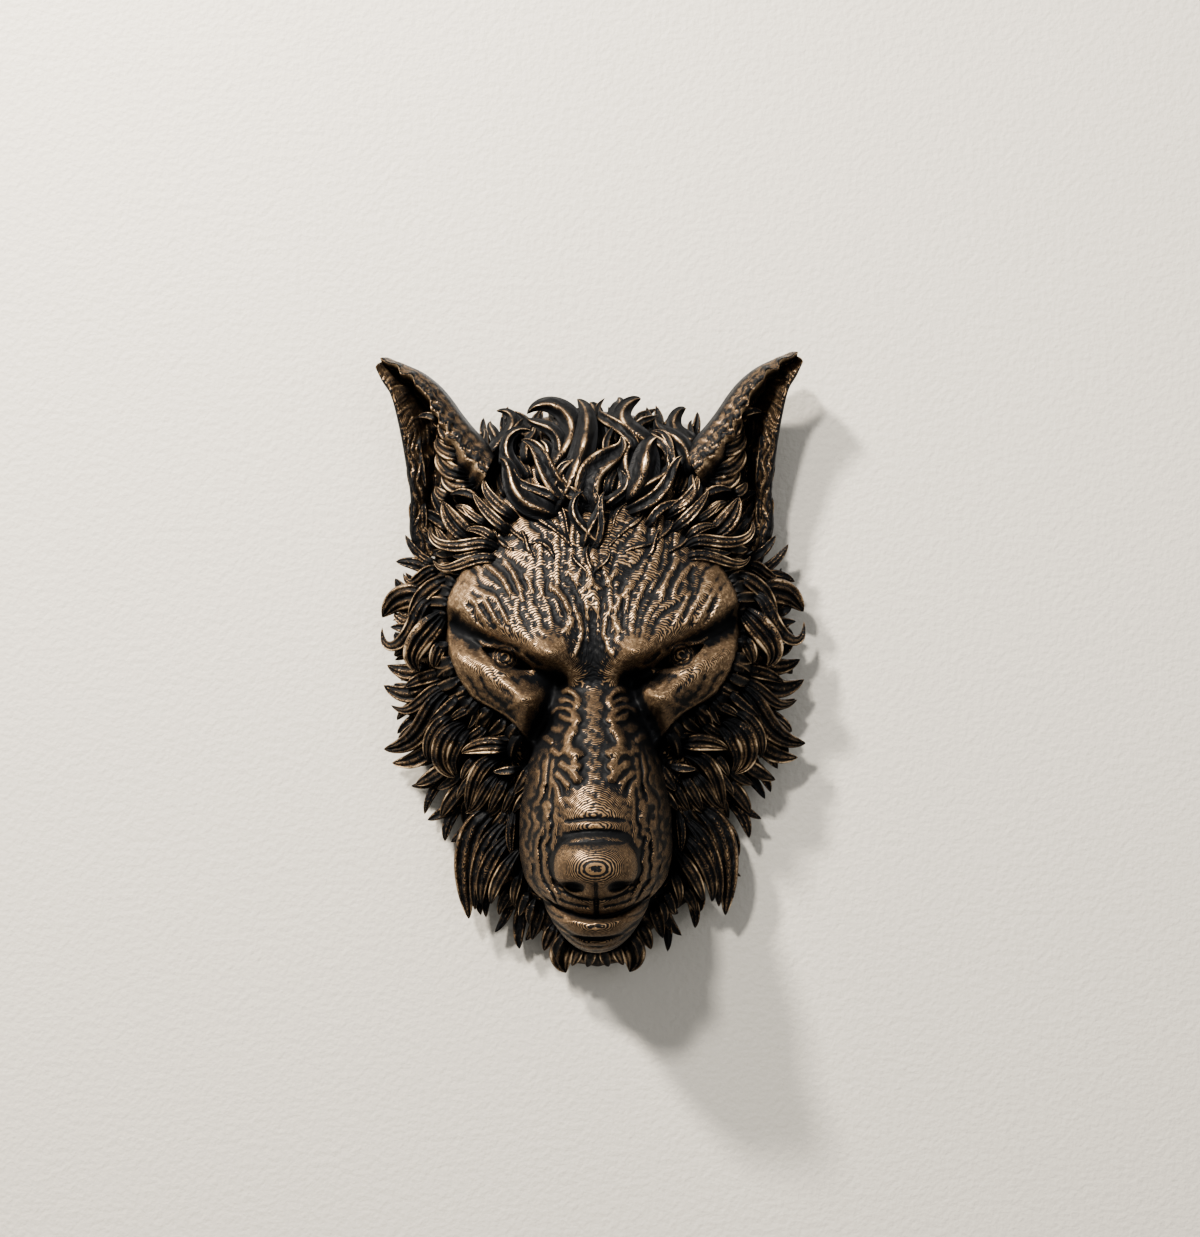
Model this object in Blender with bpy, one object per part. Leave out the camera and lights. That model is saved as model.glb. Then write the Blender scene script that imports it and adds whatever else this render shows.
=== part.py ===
# A wolf's head as a wall mask, with pricked ears and a mane of pointed locks. Its flat back lies on
# the wall in the plane y = 0, the face looks along -Y, and the origin is the middle of that back.
# Sizes below are in millimetres; "depth" is the distance out from the wall.

import bmesh
import bpy
import numpy as np

MILLIMETRE = 0.001

# Half the width of the base of the mane and the height of its dome, each as (z, size) pairs.
BASE_HALF_WIDTH = (
    (-138.5, 0), (-137, 10), (-131, 17.5), (-124, 23), (-116, 32), (-107, 44), (-90, 53),
    (-70, 60), (-50, 69), (-30, 77), (-10, 83), (12, 85), (26, 84), (36, 78), (48, 72),
    (66, 66), (82, 58), (95, 50), (104, 40), (110, 28), (113.5, 14), (115, 0),
)
DOME_HEIGHT = (
    (-138.5, 2), (-132, 9), (-125, 13), (-105, 17), (-70, 24), (-30, 30), (10, 34),
    (50, 38), (75, 36), (92, 28), (103, 20), (112, 8), (115, 1),
)
BASE_EDGE_DEPTH = 8.0
BASE_LOW = -138.3
BASE_HIGH = 114.8

# The face: its depth down the middle line and the half-width of its border, as (z, size) pairs.
FACE_MIDDLE_DEPTH = (
    (-60, 40), (-40, 50), (-20, 58), (-8, 62), (4, 65), (20, 62), (40, 57), (60, 50),
    (80, 40), (96, 26),
)
FACE_BORDER = (
    (-60, 22), (-45, 25), (-36.8, 28.5), (-30, 34), (-22.5, 41), (-12.5, 57), (1.6, 64.5),
    (14, 67), (26, 67), (38, 62), (50, 55), (62, 48), (80, 40), (96, 30),
)
FACE_EDGE_FALL = 15.0
FACE_EDGE_AT = 57.0

# The muzzle: depth of its back, half-width and depth where its sides end, as (z, size) pairs.
MUZZLE_DEPTH = (
    (-106, 82), (-100, 89.5), (-92, 93.5), (-80, 96.5), (-68, 96.5), (-60, 95), (-50, 90.5),
    (-35, 81), (-20, 70.5), (-10, 62), (-4, 57.5), (2, 57.5), (9, 60),
)
MUZZLE_HALF_WIDTH = (
    (-106, 4), (-105, 12), (-103, 20), (-99, 27.5), (-92, 32.2), (-80, 34.2), (-65, 33.8),
    (-50, 31.5), (-37, 27.5), (-28, 23.5), (-20, 18.5), (-10, 14.5), (-4, 13), (2, 12), (9, 11),
)
MUZZLE_FOOT = ((-106, 30), (-60, 24), (-40, 32), (-4, 43), (9, 48))
MUZZLE_TOP_Z = 6.0
# How square the front of a body is across its width: 2 is an ellipse.
MUZZLE_SQUARE = 2.1
JAW_SQUARE = 2.7
# Ridges on both sides of the muzzle, and the hollows between them: start, end, how far the
# middle is bowed aside, half-width of the ridge and its height.
MUZZLE_WRINKLES = (
    ((20.0, -22.6), (5.0, -24.0), -4.0, 1.5, 1.7),
    ((8.8, -23.3), (4.7, -38.2), 4.0, 1.6, 2.0),
    ((14.9, -34.1), (4.8, -43.3), 0.5, 1.5, 1.9),
    ((15.7, -39.4), (6.0, -48.9), 0.5, 1.5, 1.9),
    ((20.5, -47.0), (16.2, -58.1), -2.0, 1.3, 1.4),
    ((22.3, -64.3), (22.5, -84.0), 1.5, 1.4, 1.4),
    ((20.0, -30.0), (13.2, -31.6), 0.0, 2.2, -2.0),
    ((20.6, -50.0), (20.1, -57.0), 0.0, 2.0, -2.0),
)
# Ridges on both sides of the forehead, the same way.
FOREHEAD_RIDGES = (
    ((47.0, 45.3), (35.0, 27.2), 1.5, 1.5, 1.4),
    ((40.3, 46.9), (29.3, 25.0), 1.5, 1.5, 1.3),
    ((23.3, 35.2), (17.8, 16.2), 1.5, 1.4, 1.2),
    ((19.8, 34.3), (9.2, 20.4), -1.5, 1.6, 1.5),
    ((8.3, 29.8), (9.9, 0.7), 3.0, 1.4, 1.3),
)

# The lower jaw.
JAW_DEPTH = (
    (-125, 52), (-122, 67), (-118, 76), (-114, 80), (-112, 85), (-108, 87.5), (-104, 86),
    (-98, 84), (-90, 80),
)
JAW_HALF_WIDTH = (
    (-125, 5), (-121, 13), (-116, 18), (-110, 21.5), (-104, 24), (-98, 25.5), (-90, 27),
)
JAW_FOOT = 22.0

# The nose pad.
NOSE_MIDDLE_Z = -82.5
NOSE_HALF_WIDTH = 17.6
NOSE_RISE = 14.5
NOSE_DROP = 13.5
NOSE_FOOT = 88.0
NOSE_TIP_DEPTH = 106.5

# The eye: corners and centre of the eyeball, seen from the front.
EYE_OUTER = (48.0, 7.8)
EYE_INNER = (26.5, -1.6)
EYE_BALL = (38.2, 3.9)
EYE_BALL_RADIUS = 8.5
EYE_BALL_DEPTH = 44.5

# Locks on both sides, each as root, bend and tip (x out from the middle, z up), width, and the
# depth of its crest at root, bend and tip. They go from below the ear down to the beard.
SIDE_OUTLINE_LOCKS = (
    ((67, 37), (76, 42.5), (85.0, 41.8), 9, (30, 24, 17)),
    ((66, 30), (82, 31.0), (95.9, 21.9), 13, (31, 26, 17)),
    ((66, 25), (83, 8.5), (96.9, 18.0), 10, (32, 25, 19)),
    ((68, 10), (82, 4.0), (92.5, 9.5), 8, (28, 22, 17)),
    ((68, -1), (82, -1.5), (93.4, 1.1), 10, (28, 22, 16)),
    ((66, -9), (82, -11.5), (95.8, -9.0), 10, (27, 22, 16)),
    ((62, -16), (80, -22.0), (91.9, -17.6), 10, (28, 22, 16)),
    ((55, -12), (74, -31.0), (96.2, -37.2), 13, (42, 32, 17)),
    ((60, -34), (77, -42.0), (90.4, -44.0), 10, (27, 22, 15)),
    ((54, -38), (70, -49.5), (81.1, -54.2), 10, (31, 24, 16)),
    ((52, -50), (62, -56.0), (70.5, -59.5), 8, (26, 20, 15)),
    ((48, -53), (61, -66.0), (70.8, -69.3), 9, (27, 22, 16)),
    ((44, -62), (49.5, -90.0), (57.5, -115.6), 22, (27, 24, 17)),
    ((35, -84), (43, -98.0), (44.1, -112.9), 9, (24, 20, 15)),
    ((32, -88), (36, -100.0), (35.9, -111.6), 8, (24, 20, 15)),
    ((26, -100), (31, -113.0), (29.3, -124.9), 9, (26, 20, 15)),
    ((20, -108), (24, -120.0), (23.3, -130.2), 9, (26, 20, 15)),
    ((10, -116), (13, -130.0), (13.2, -140.2), 12, (34, 28, 20)),
)
CHEEK_LOCKS = (
    ((67, 20), (73, 8.0), (76.0, -3.0), 13, (42, 40, 33)),
    ((58, -15), (67, -22.0), (72.6, -38.0), 8, (44, 40, 30)),
    ((57, -26), (67, -36.0), (60.5, -49.0), 9, (42, 39, 31)),
    ((40, -35), (50, -38.0), (58.5, -38.5), 8, (42, 41, 38)),
    ((40, -42), (50, -47.0), (54.5, -56.0), 8, (38, 37, 31)),
    ((32, -45), (38, -47.5), (43.0, -48.0), 6, (42, 41, 38)),
    ((41, -49), (51, -55.0), (57.0, -64.5), 9, (34, 34, 28)),
    ((36, -55), (42, -60.0), (45.5, -68.0), 8, (34, 34, 28)),
    ((64, -2), (66, -8.0), (65.5, -14.0), 5, (38, 37, 33)),
)
TEMPLE_LOCKS = (
    ((50, 55), (60, 61.0), (65.0, 72.0), 11, (46, 46, 40)),
    ((40, 46), (57, 52.0), (69.0, 60.5), 9, (50, 49, 42)),
    ((40, 62), (48, 66.0), (51.0, 76.0), 7, (47, 46, 42)),
    ((31, 66), (42, 71.0), (45.5, 81.0), 9, (49, 47, 42)),
    ((54, 62), (58, 68.0), (60.0, 75.0), 7, (42, 42, 38)),
    ((49, 39), (60, 40.0), (70.0, 45.0), 9, (48, 45, 38)),
    ((26, 71), (37, 77.0), (39.5, 90.0), 9, (48, 46, 42)),
)
# The crown is not mirrored, so here x is measured from the middle line, right positive.
CROWN_LOCKS = (
    ((-12, 78), (-20, 91.0), (-29, 98.5), 13, (48, 47, 43)),
    ((0, 70), (0, 90.0), (11.5, 99.5), 15, (52, 50, 46)),
    ((12, 76), (18, 90.0), (28.0, 98.0), 13, (50, 48, 43)),
    ((24, 71), (34, 80.0), (38.0, 90.0), 8, (48, 46, 43)),
    ((-44, 80), (-46, 89.0), (-37, 97.0), 9, (42, 41, 34)),
    ((-20, 82), (-33, 91.0), (-34, 103.0), 10, (46, 44, 34)),
    ((-34, 82), (-29, 94.0), (-20, 103.0), 9, (44, 43, 36)),
    ((-14, 66), (-24, 76.0), (-24, 88.0), 9, (52, 50, 47)),
    ((15, 64), (26, 72.0), (27, 84.0), 9, (52, 50, 47)),
    ((8, 86), (3, 98.0), (-10, 107.0), 10, (46, 44, 38)),
    ((28, 86), (27, 97.0), (34, 104.0), 9, (45, 42, 34)),
    ((44, 80), (45, 90.0), (40, 98.0), 9, (42, 41, 34)),
    ((-40, 92), (-47, 97.0), (-49.0, 104.0), 8, (30, 27, 20)),
    ((-38, 94), (-43, 101.0), (-44.5, 108.0), 7, (30, 27, 20)),
    ((-32, 92), (-34, 104.0), (-41.4, 112.0), 9, (36, 32, 24)),
    ((-26, 96), (-27, 104.0), (-31.5, 110.5), 9, (36, 32, 24)),
    ((-8, 92), (-13, 108.0), (-25.0, 113.0), 16, (42, 38, 28)),
    ((-5, 95), (-8, 108.0), (-15.5, 115.5), 8, (40, 36, 26)),
    ((0, 92), (4, 107.0), (-6.5, 118.5), 12, (42, 36, 25)),
    ((15, 96), (4, 108.0), (8.0, 119.0), 10, (40, 34, 25)),
    ((22, 98), (12, 109.0), (20.0, 117.5), 10, (38, 32, 24)),
    ((24, 98), (27, 106.0), (30.5, 110.5), 8, (36, 31, 24)),
    ((38, 94), (34, 104.0), (40.5, 113.5), 9, (34, 30, 22)),
    ((40, 94), (46, 99.0), (48.0, 106.0), 8, (30, 27, 20)),
)
LOCK_SINK = 8.0
LOCK_SINK_SHARE = 0.3
LOCK_WIDEST_AT = 0.35
LOCK_ROOT_WIDTH_SHARE = 0.3
LOCK_MOST_THICKNESS = 5.5
LOCK_HOLLOW = 0.32
LOCK_STATIONS = 18
LOCK_TOP_POINTS = 11
LOCK_KEEL_POINTS = 4

# The ear: its outer and inner edge from base to tip, (x out from the middle, z up).
EAR_OUTER_EDGE = (
    (77.0, 43.8), (82.4, 61.9), (81.5, 74.0), (83.4, 92.2), (87.1, 114.0), (89.2, 121.7),
    (92.5, 127.1), (95.6, 132.5),
)
EAR_INNER_EDGE = (
    (42.0, 92.6), (46.4, 99.5), (51.7, 105.5), (56.6, 111.8), (61.0, 118.2), (66.4, 124.6),
    (74.8, 131.2), (89.0, 138.0),
)
EAR_STATIONS = 40
EAR_FRONT_POINTS = 30
EAR_BACK_POINTS = 12

# The slot in the back that goes over a nail.
SLOT_WIDTH = 10.0
SLOT_HEIGHT = 18.0
SLOT_DEPTH = 12.0
SLOT_MIDDLE_Z = 70.0
SLOT_ARC_STEPS = 10

HEAD_ROWS = 170
HEAD_COLUMNS = 150
BEHIND_WALL = 6.0
VOXEL = 1.1
TRIANGLES_KEPT = 9400


def smooth_step(share):
    share = np.clip(share, 0.0, 1.0)
    return share * share * (3.0 - 2.0 * share)


def along(stations, at):
    """The value at each place, on a smooth curve through (place, value) pairs that never overshoots."""
    pairs = np.array(stations, float)
    place, value = pairs[:, 0], pairs[:, 1]
    step = np.diff(place)
    slope = np.diff(value) / step
    tangent = np.zeros_like(value)
    same_way = slope[:-1] * slope[1:] > 0
    first = 2 * step[1:] + step[:-1]
    second = step[1:] + 2 * step[:-1]
    before = np.where(same_way, slope[:-1], 1.0)
    after = np.where(same_way, slope[1:], 1.0)
    tangent[1:-1] = np.where(same_way, (first + second) / (first / before + second / after), 0.0)
    tangent[0], tangent[-1] = slope[0], slope[-1]
    at = np.clip(at, place[0], place[-1])
    piece = np.clip(np.searchsorted(place, at, side="right") - 1, 0, len(step) - 1)
    share = (at - place[piece]) / step[piece]
    return (
        (2 * share**3 - 3 * share**2 + 1) * value[piece]
        + (share**3 - 2 * share**2 + share) * step[piece] * tangent[piece]
        + (3 * share**2 - 2 * share**3) * value[piece + 1]
        + (share**3 - share**2) * step[piece] * tangent[piece + 1]
    )


def smooth_max(first, second, blend):
    share = np.clip(0.5 + 0.5 * (first - second) / blend, 0.0, 1.0)
    return second + (first - second) * share + blend * share * (1.0 - share)


def boss(x, z, middle, radii):
    return np.exp(-(((x - middle[0]) / radii[0]) ** 2) - ((z - middle[1]) / radii[1]) ** 2)


def fold(x, z, start, end, above, below, sag=0.0):
    """Share along the line from start to end, and a ridge on it that fades above and below it."""
    run = np.subtract(end, start)
    length = np.hypot(*run)
    run = run / length
    share = ((x - start[0]) * run[0] + (z - start[1]) * run[1]) / length
    offset = (z - start[1]) * run[0] - (x - start[0]) * run[1]
    inside = np.clip(share, 0, 1)
    offset = offset + sag * 4 * inside * (1 - inside)
    beyond = np.maximum(0, np.maximum(-share, share - 1)) * length
    fade = np.where(offset > 0, above, below)
    ridge = np.exp(-((offset / fade) ** 2) - (beyond / (0.5 * (above + below))) ** 2)
    return inside, ridge


def dome_depth(x, z):
    out = np.clip(np.abs(x) / np.maximum(along(BASE_HALF_WIDTH, z), 1e-3), 0, 1)
    return BASE_EDGE_DEPTH + along(DOME_HEIGHT, z) * (1 - out**2.6) ** 0.6


def wrinkles(x, z, rows):
    """Ridges, or hollows where the height is negative, each a bell across its line."""
    total = np.zeros_like(x)
    for start, end, sag, half_width, height in rows:
        total = total + height * fold(np.abs(x), z, start, end, half_width, half_width, sag)[1]
    return total


def face_depth(x, z):
    out = np.abs(x)
    depth = along(FACE_MIDDLE_DEPTH, z) - FACE_EDGE_FALL * (out / FACE_EDGE_AT) ** 2.4
    # brow, with a round boss at its inner end
    depth = depth + 6.0 * boss(out, z, (19, 4.5), (9, 8))
    share, ridge = fold(out, z, (20, 5), (57, 25), 19, 5, sag=2.5)
    depth = depth + (3.0 + 6.0 * share) * ridge
    # low ridge up the middle of the forehead
    depth = depth + 1.6 * fold(x, z, (0, 26), (0, 46), 4, 4)[1]
    # socket of the eye
    share, ridge = fold(out, z, (21.5, -5.5), (60, 16), 6.5, 9.5, sag=-1.0)
    depth = depth - (11.5 - 6.5 * share) * ridge
    # crease beside the root of the muzzle
    depth = depth - 7.0 * fold(out, z, (15, -7), (27, -32), 4, 4)[1]
    # cheekbone
    share, ridge = fold(out, z, (27, -14), (58, 5), 8, 9)
    depth = depth + (12.0 - 5.0 * share) * ridge
    depth = depth + 4.0 * fold(out, z, (28, -36), (30, -16), 7, 7)[1]
    depth = depth + wrinkles(x, z, FOREHEAD_RIDGES)
    # frown between the brows
    return depth - 2.0 * boss(x, z, (0, 4), (9, 16))


def eye_depth(x, z, face):
    """The face with an eyeball between two lids."""
    out = np.abs(x)
    middle = 0.5 * np.add(EYE_OUTER, EYE_INNER)
    run = np.subtract(EYE_INNER, EYE_OUTER)
    half = 0.5 * np.hypot(*run)
    run = run / (2 * half)
    across = ((out - middle[0]) * run[0] + (z - middle[1]) * run[1]) / half
    up = (out - middle[0]) * run[1] - (z - middle[1]) * run[0]
    open_share = np.clip(1 - across**2, 0, 1)
    inside = np.minimum(2.6 * open_share**0.8 - up, up + 3.6 * open_share)
    inside = np.where(np.abs(across) < 1, inside, -np.hypot((np.abs(across) - 1) * half, up))
    bulge = EYE_BALL_RADIUS**2 - (out - EYE_BALL[0]) ** 2 - 1.2 * (z - EYE_BALL[1]) ** 2
    ball = EYE_BALL_DEPTH + np.sqrt(np.maximum(0, bulge))
    near = smooth_step((13 - np.hypot(out - EYE_BALL[0], 1.3 * (z - EYE_BALL[1]))) / 5)
    lid = face + near * (np.maximum(face, ball + 0.8) - face)
    rim = near * smooth_step((1.5 - np.abs(across)) / 0.4)
    lid = lid + 1.6 * rim * np.exp(-(((inside + 1.6) / 1.3) ** 2))
    return lid + smooth_step(inside / 0.8 + 0.3) * (np.minimum(ball, lid - 0.8) - lid)


def barrel_depth(x, top, half_width, foot, square):
    """A body with an upright round front, such as the muzzle or the jaw."""
    out = np.abs(x) / half_width
    depth = foot + (top - foot) * np.maximum(0, 1 - np.clip(out, 0, 1) ** square) ** 0.5
    return depth - np.maximum(0, out - 1) * half_width * 4.0


def muzzle_depth(x, z):
    half_width = along(MUZZLE_HALF_WIDTH, z)
    depth = barrel_depth(x, along(MUZZLE_DEPTH, z), half_width, along(MUZZLE_FOOT, z), MUZZLE_SQUARE)
    depth = depth + wrinkles(x, z, MUZZLE_WRINKLES)
    return depth - np.maximum(0, z - MUZZLE_TOP_Z) * 3.0 - np.maximum(0, -106 - z) * 12.0


def jaw_depth(x, z):
    depth = barrel_depth(x, along(JAW_DEPTH, z), along(JAW_HALF_WIDTH, z), JAW_FOOT, JAW_SQUARE)
    return depth - np.maximum(0, z + 90) * 3.0 - np.maximum(0, -125 - z) * 12.0


def nose_depth(x, z):
    reach = np.where(z > NOSE_MIDDLE_Z, NOSE_RISE, NOSE_DROP)
    out = np.abs(x / NOSE_HALF_WIDTH) ** 2.6 + np.abs((z - NOSE_MIDDLE_Z) / reach) ** 2.4
    tip = NOSE_TIP_DEPTH - 0.010 * (z + 79.0) ** 2
    pad = NOSE_FOOT + (tip - NOSE_FOOT) * np.maximum(0, 1 - np.clip(out, 0, 1)) ** 0.42
    return np.where(out < 1, pad, NOSE_FOOT - (out - 1) * 30)


def head_depth(x, z):
    dome = dome_depth(x, z)
    face = eye_depth(x, z, face_depth(x, z))
    inside = smooth_step((along(FACE_BORDER, z) - np.abs(x)) / 6.0 + 0.25)
    inside = inside * smooth_step((z + 62) / 12) * smooth_step((96 - z) / 30)
    depth = dome + inside * (np.maximum(face, dome) - dome)
    depth = smooth_max(depth, muzzle_depth(x, z), 4.0)
    depth = smooth_max(depth, jaw_depth(x, z), 1.5)
    depth = smooth_max(depth, nose_depth(x, z), 1.6)
    out = np.abs(x)
    # line of the mouth, and the fold under the lower lip
    mouth = np.exp(-(((z + 104.6 - 0.012 * x**2) / 1.1) ** 2)) * smooth_step((25 - out) / 5)
    under_lip = np.exp(-(((z + 114.5 - 0.018 * x**2) / 1.3) ** 2)) * smooth_step((21 - out) / 5)
    depth = depth - 4.0 * mouth - 2.6 * under_lip
    # nostrils
    return depth - 9.0 * np.exp(-(np.hypot((out - 9.5) / 4.6, (z + 90.5) / 2.9) ** 3))


def equal_steps(places, heights, count):
    """Places spaced evenly along a line that climbs and falls."""
    run = np.concatenate([[0], np.cumsum(np.hypot(np.diff(places), np.diff(heights)))])
    return np.interp(np.linspace(0, run[-1], count), run, places)


def ring_faces(stations, around):
    """Faces of a closed tube whose rings have the given number of points, with both ends filled."""
    faces = []
    for i in range(stations - 1):
        for j in range(around):
            k = (j + 1) % around
            faces.append((i * around + j, i * around + k, (i + 1) * around + k, (i + 1) * around + j))
    faces.append(tuple(range(around))[::-1])
    faces.append(tuple(range((stations - 1) * around, stations * around)))
    return faces


def head_mesh():
    """Rows of points over the front of the head, each row going on round behind the wall plane."""
    fine_z = np.linspace(BASE_LOW, BASE_HIGH, 1200)
    crests = np.max([head_depth(np.full_like(fine_z, x), fine_z) for x in (0.0, 24.0)], axis=0)
    rows = equal_steps(fine_z, crests, HEAD_ROWS)
    points = []
    for z in rows:
        fine_x = np.linspace(-1, 1, 700) * along(BASE_HALF_WIDTH, np.array([z]))[0]
        line = np.full_like(fine_x, z)
        x = equal_steps(fine_x, head_depth(fine_x, line), HEAD_COLUMNS)
        depth = head_depth(x, np.full_like(x, z))
        front = np.stack([x, -depth, np.full_like(x, z)], -1)
        back = np.array([[x[-1], BEHIND_WALL, z], [x[0], BEHIND_WALL, z]])
        points.append(np.concatenate([front, back]))
    return np.concatenate(points), ring_faces(HEAD_ROWS, HEAD_COLUMNS + 2)


def bent(first, middle, last, share):
    """A curve from first to last that passes through middle half way."""
    pull = 2 * np.asarray(middle, float) - 0.5 * np.add(first, last)
    share = share[:, None] if np.ndim(first) else share
    return (1 - share) ** 2 * np.asarray(first) + 2 * share * (1 - share) * pull + share**2 * np.asarray(last)


def lock_mesh(root, bend, tip, width, depths):
    """A pointed lock of hair, hollow along its top and with a keel below that reaches into the head."""
    share = np.linspace(0, 1, LOCK_STATIONS)
    line = bent(root, bend, tip, share)
    run = np.gradient(line, axis=0)
    run = run / np.hypot(run[:, 0], run[:, 1])[:, None]
    crest = bent(*depths, share) - LOCK_SINK * (1 - smooth_step(share / LOCK_SINK_SHARE))
    swell = LOCK_ROOT_WIDTH_SHARE + (1 - LOCK_ROOT_WIDTH_SHARE) * np.sin(
        np.clip(share / LOCK_WIDEST_AT, 0, 1) * np.pi / 2
    )
    past = np.clip((share - LOCK_WIDEST_AT) / (1 - LOCK_WIDEST_AT), 0, 1)
    fullness = np.maximum(swell * (1 - past**1.9) ** 0.85, 0.01)
    half = 0.5 * width * fullness
    thickness = np.minimum(0.5 * width * fullness**0.8, LOCK_MOST_THICKNESS)
    keel = np.minimum(np.interp(share, [0, 0.25, 1], [22, 14, 2]), crest - 1.0)
    top = np.linspace(-1, 1, LOCK_TOP_POINTS)
    below = np.linspace(1, -1, LOCK_KEEL_POINTS + 2)[1:-1]
    section = (1 - top**4) ** 0.55 - LOCK_HOLLOW * np.maximum(0, 1 - (top / 0.75) ** 2)
    over = crest[:, None] + thickness[:, None] * (section - 1)
    under = (crest - thickness)[:, None] - (keel * np.clip(1.5 * fullness, 0, 1))[:, None] * (1 - below**2)
    across = np.concatenate([top, below]) * half[:, None]
    x = line[:, :1] - run[:, 1:] * across
    z = line[:, 1:] + run[:, :1] * across
    points = np.stack([x, -np.concatenate([over, under], axis=1), z], -1)
    return points.reshape(-1, 3), ring_faces(LOCK_STATIONS, LOCK_TOP_POINTS + LOCK_KEEL_POINTS)


def edge_points(corners, share):
    """Points at each share of the way along a smooth edge through the corners."""
    corners = np.array(corners, float)
    steps = np.hypot(*np.diff(corners, axis=0).T)
    place = np.concatenate([[0], np.cumsum(steps)]) / steps.sum()
    return np.stack([along(np.stack([place, corners[:, i]], -1), share) for i in (0, 1)], -1)


def ear_mesh():
    """The right ear: a cupped shell with a raised outer rim, a hollow, and a fringe over the hollow."""
    share = np.linspace(0, 1, EAR_STATIONS)
    outer = edge_points(EAR_OUTER_EDGE, share)
    inner = edge_points(EAR_INNER_EDGE, share)
    front = np.linspace(0, 1, EAR_FRONT_POINTS)
    back = np.linspace(1, 0, EAR_BACK_POINTS + 2)[1:-1]
    around = np.concatenate([front, back])
    rows = []
    for i, s in enumerate(share):
        fringe_at = 0.72 - 0.14 * s
        rim = 18 + 14 * s
        hollow = 14 + 14 * smooth_step((s - 0.55) / 0.45)
        fringe = 46 - 9 * s
        edge = fringe - 13 + 4 * s
        face = along(
            (
                (0, rim - 5), (0.03, rim - 1), (0.07, rim), (0.16, rim - 1.5),
                (0.27, hollow + 3), (0.36, hollow), (fringe_at - 0.16, hollow + 3),
                (fringe_at - 0.04, fringe - 3), (fringe_at, fringe),
                (fringe_at + 0.06, fringe - 1), (0.94, edge + 2), (1.0, edge - 3),
            ),
            front,
        )
        behind = along(((0, rim - 7), (0.3, hollow - 6), (fringe_at, hollow - 2), (1, edge - 6)), back)
        blunt = 1.26 * np.sin(np.pi * around) * smooth_step((s - 0.86) / 0.14)
        place = outer[i] * (1 - around[:, None]) + inner[i] * around[:, None] + blunt[:, None]
        rows.append(np.stack([place[:, 0], -np.concatenate([face, behind]), place[:, 1]], -1))
    return np.concatenate(rows), ring_faces(EAR_STATIONS, EAR_FRONT_POINTS + EAR_BACK_POINTS)


def mirrored(points):
    return points * np.array([-1.0, 1.0, 1.0])


def slot_mesh():
    """A cutter with a round top that stands out behind the back."""
    radius = 0.5 * SLOT_WIDTH
    low = SLOT_MIDDLE_Z - 0.5 * SLOT_HEIGHT
    middle = SLOT_MIDDLE_Z + 0.5 * SLOT_HEIGHT - radius
    turn = np.linspace(0, np.pi, SLOT_ARC_STEPS)
    outline = [(-radius, low), (radius, low)]
    outline += list(zip(radius * np.cos(turn), middle + radius * np.sin(turn)))
    rings = [[(x, y, z) for x, z in outline] for y in (-SLOT_DEPTH, BEHIND_WALL)]
    return np.concatenate(rings), ring_faces(2, len(outline))


def block_mesh():
    """Everything behind the wall plane."""
    outline = ((-130, -170), (130, -170), (130, 170), (-130, 170))
    rings = [[(x, y, z) for x, z in outline] for y in (0.0, 4 * BEHIND_WALL)]
    return np.concatenate(rings), ring_faces(2, len(outline))


def new_object(name, meshes):
    """One object from several closed meshes, each turned to face outwards."""
    shape = bmesh.new()
    for points, faces in meshes:
        corners = [shape.verts.new(p) for p in (points * MILLIMETRE).tolist()]
        made = [shape.faces.new([corners[i] for i in face]) for face in faces]
        bmesh.ops.recalc_face_normals(shape, faces=made)
    mesh = bpy.data.meshes.new(name)
    shape.to_mesh(mesh)
    shape.free()
    made_object = bpy.data.objects.new(name, mesh)
    bpy.context.scene.collection.objects.link(made_object)
    return made_object


def bake(made_object, modifier):
    """Puts the result of the modifier into the mesh."""
    graph = bpy.context.evaluated_depsgraph_get()
    result = bpy.data.meshes.new_from_object(made_object.evaluated_get(graph))
    made_object.modifiers.remove(modifier)
    made_object.data = result


def fuse(made_object):
    modifier = made_object.modifiers.new("fuse", "REMESH")
    modifier.mode = "VOXEL"
    modifier.voxel_size = VOXEL * MILLIMETRE
    bake(made_object, modifier)


def keep_largest_shell(made_object):
    """Drops the walls of hollows that the fused locks closed off, which fills them."""
    shape = bmesh.new()
    shape.from_mesh(made_object.data)
    left = set(shape.verts)
    shells = []
    while left:
        front = [left.pop()]
        shell = list(front)
        while front:
            corner = front.pop()
            for edge in corner.link_edges:
                other = edge.other_vert(corner)
                if other in left:
                    left.remove(other)
                    front.append(other)
                    shell.append(other)
        shells.append(shell)
    shells.sort(key=len)
    spare = [corner for shell in shells[:-1] for corner in shell]
    bmesh.ops.delete(shape, geom=spare, context="VERTS")
    shape.to_mesh(made_object.data)
    shape.free()


def thin_out(made_object):
    modifier = made_object.modifiers.new("thin_out", "DECIMATE")
    triangles = 2 * len(made_object.data.polygons)
    modifier.ratio = TRIANGLES_KEPT / triangles
    bake(made_object, modifier)


def cut(made_object, name, mesh):
    cutter = new_object(name, [mesh])
    cutter.hide_render = True
    cutter.display_type = "WIRE"
    modifier = made_object.modifiers.new(name, "BOOLEAN")
    modifier.operation = "DIFFERENCE"
    modifier.solver = "EXACT"
    modifier.object = cutter


def painted_plastic():
    material = bpy.data.materials.new("wolf_mask_plastic")
    material.use_nodes = True
    shader = material.node_tree.nodes["Principled BSDF"]
    shader.inputs["Base Color"].default_value = (0.10, 0.075, 0.05, 1.0)
    shader.inputs["Roughness"].default_value = 0.5
    return material


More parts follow.
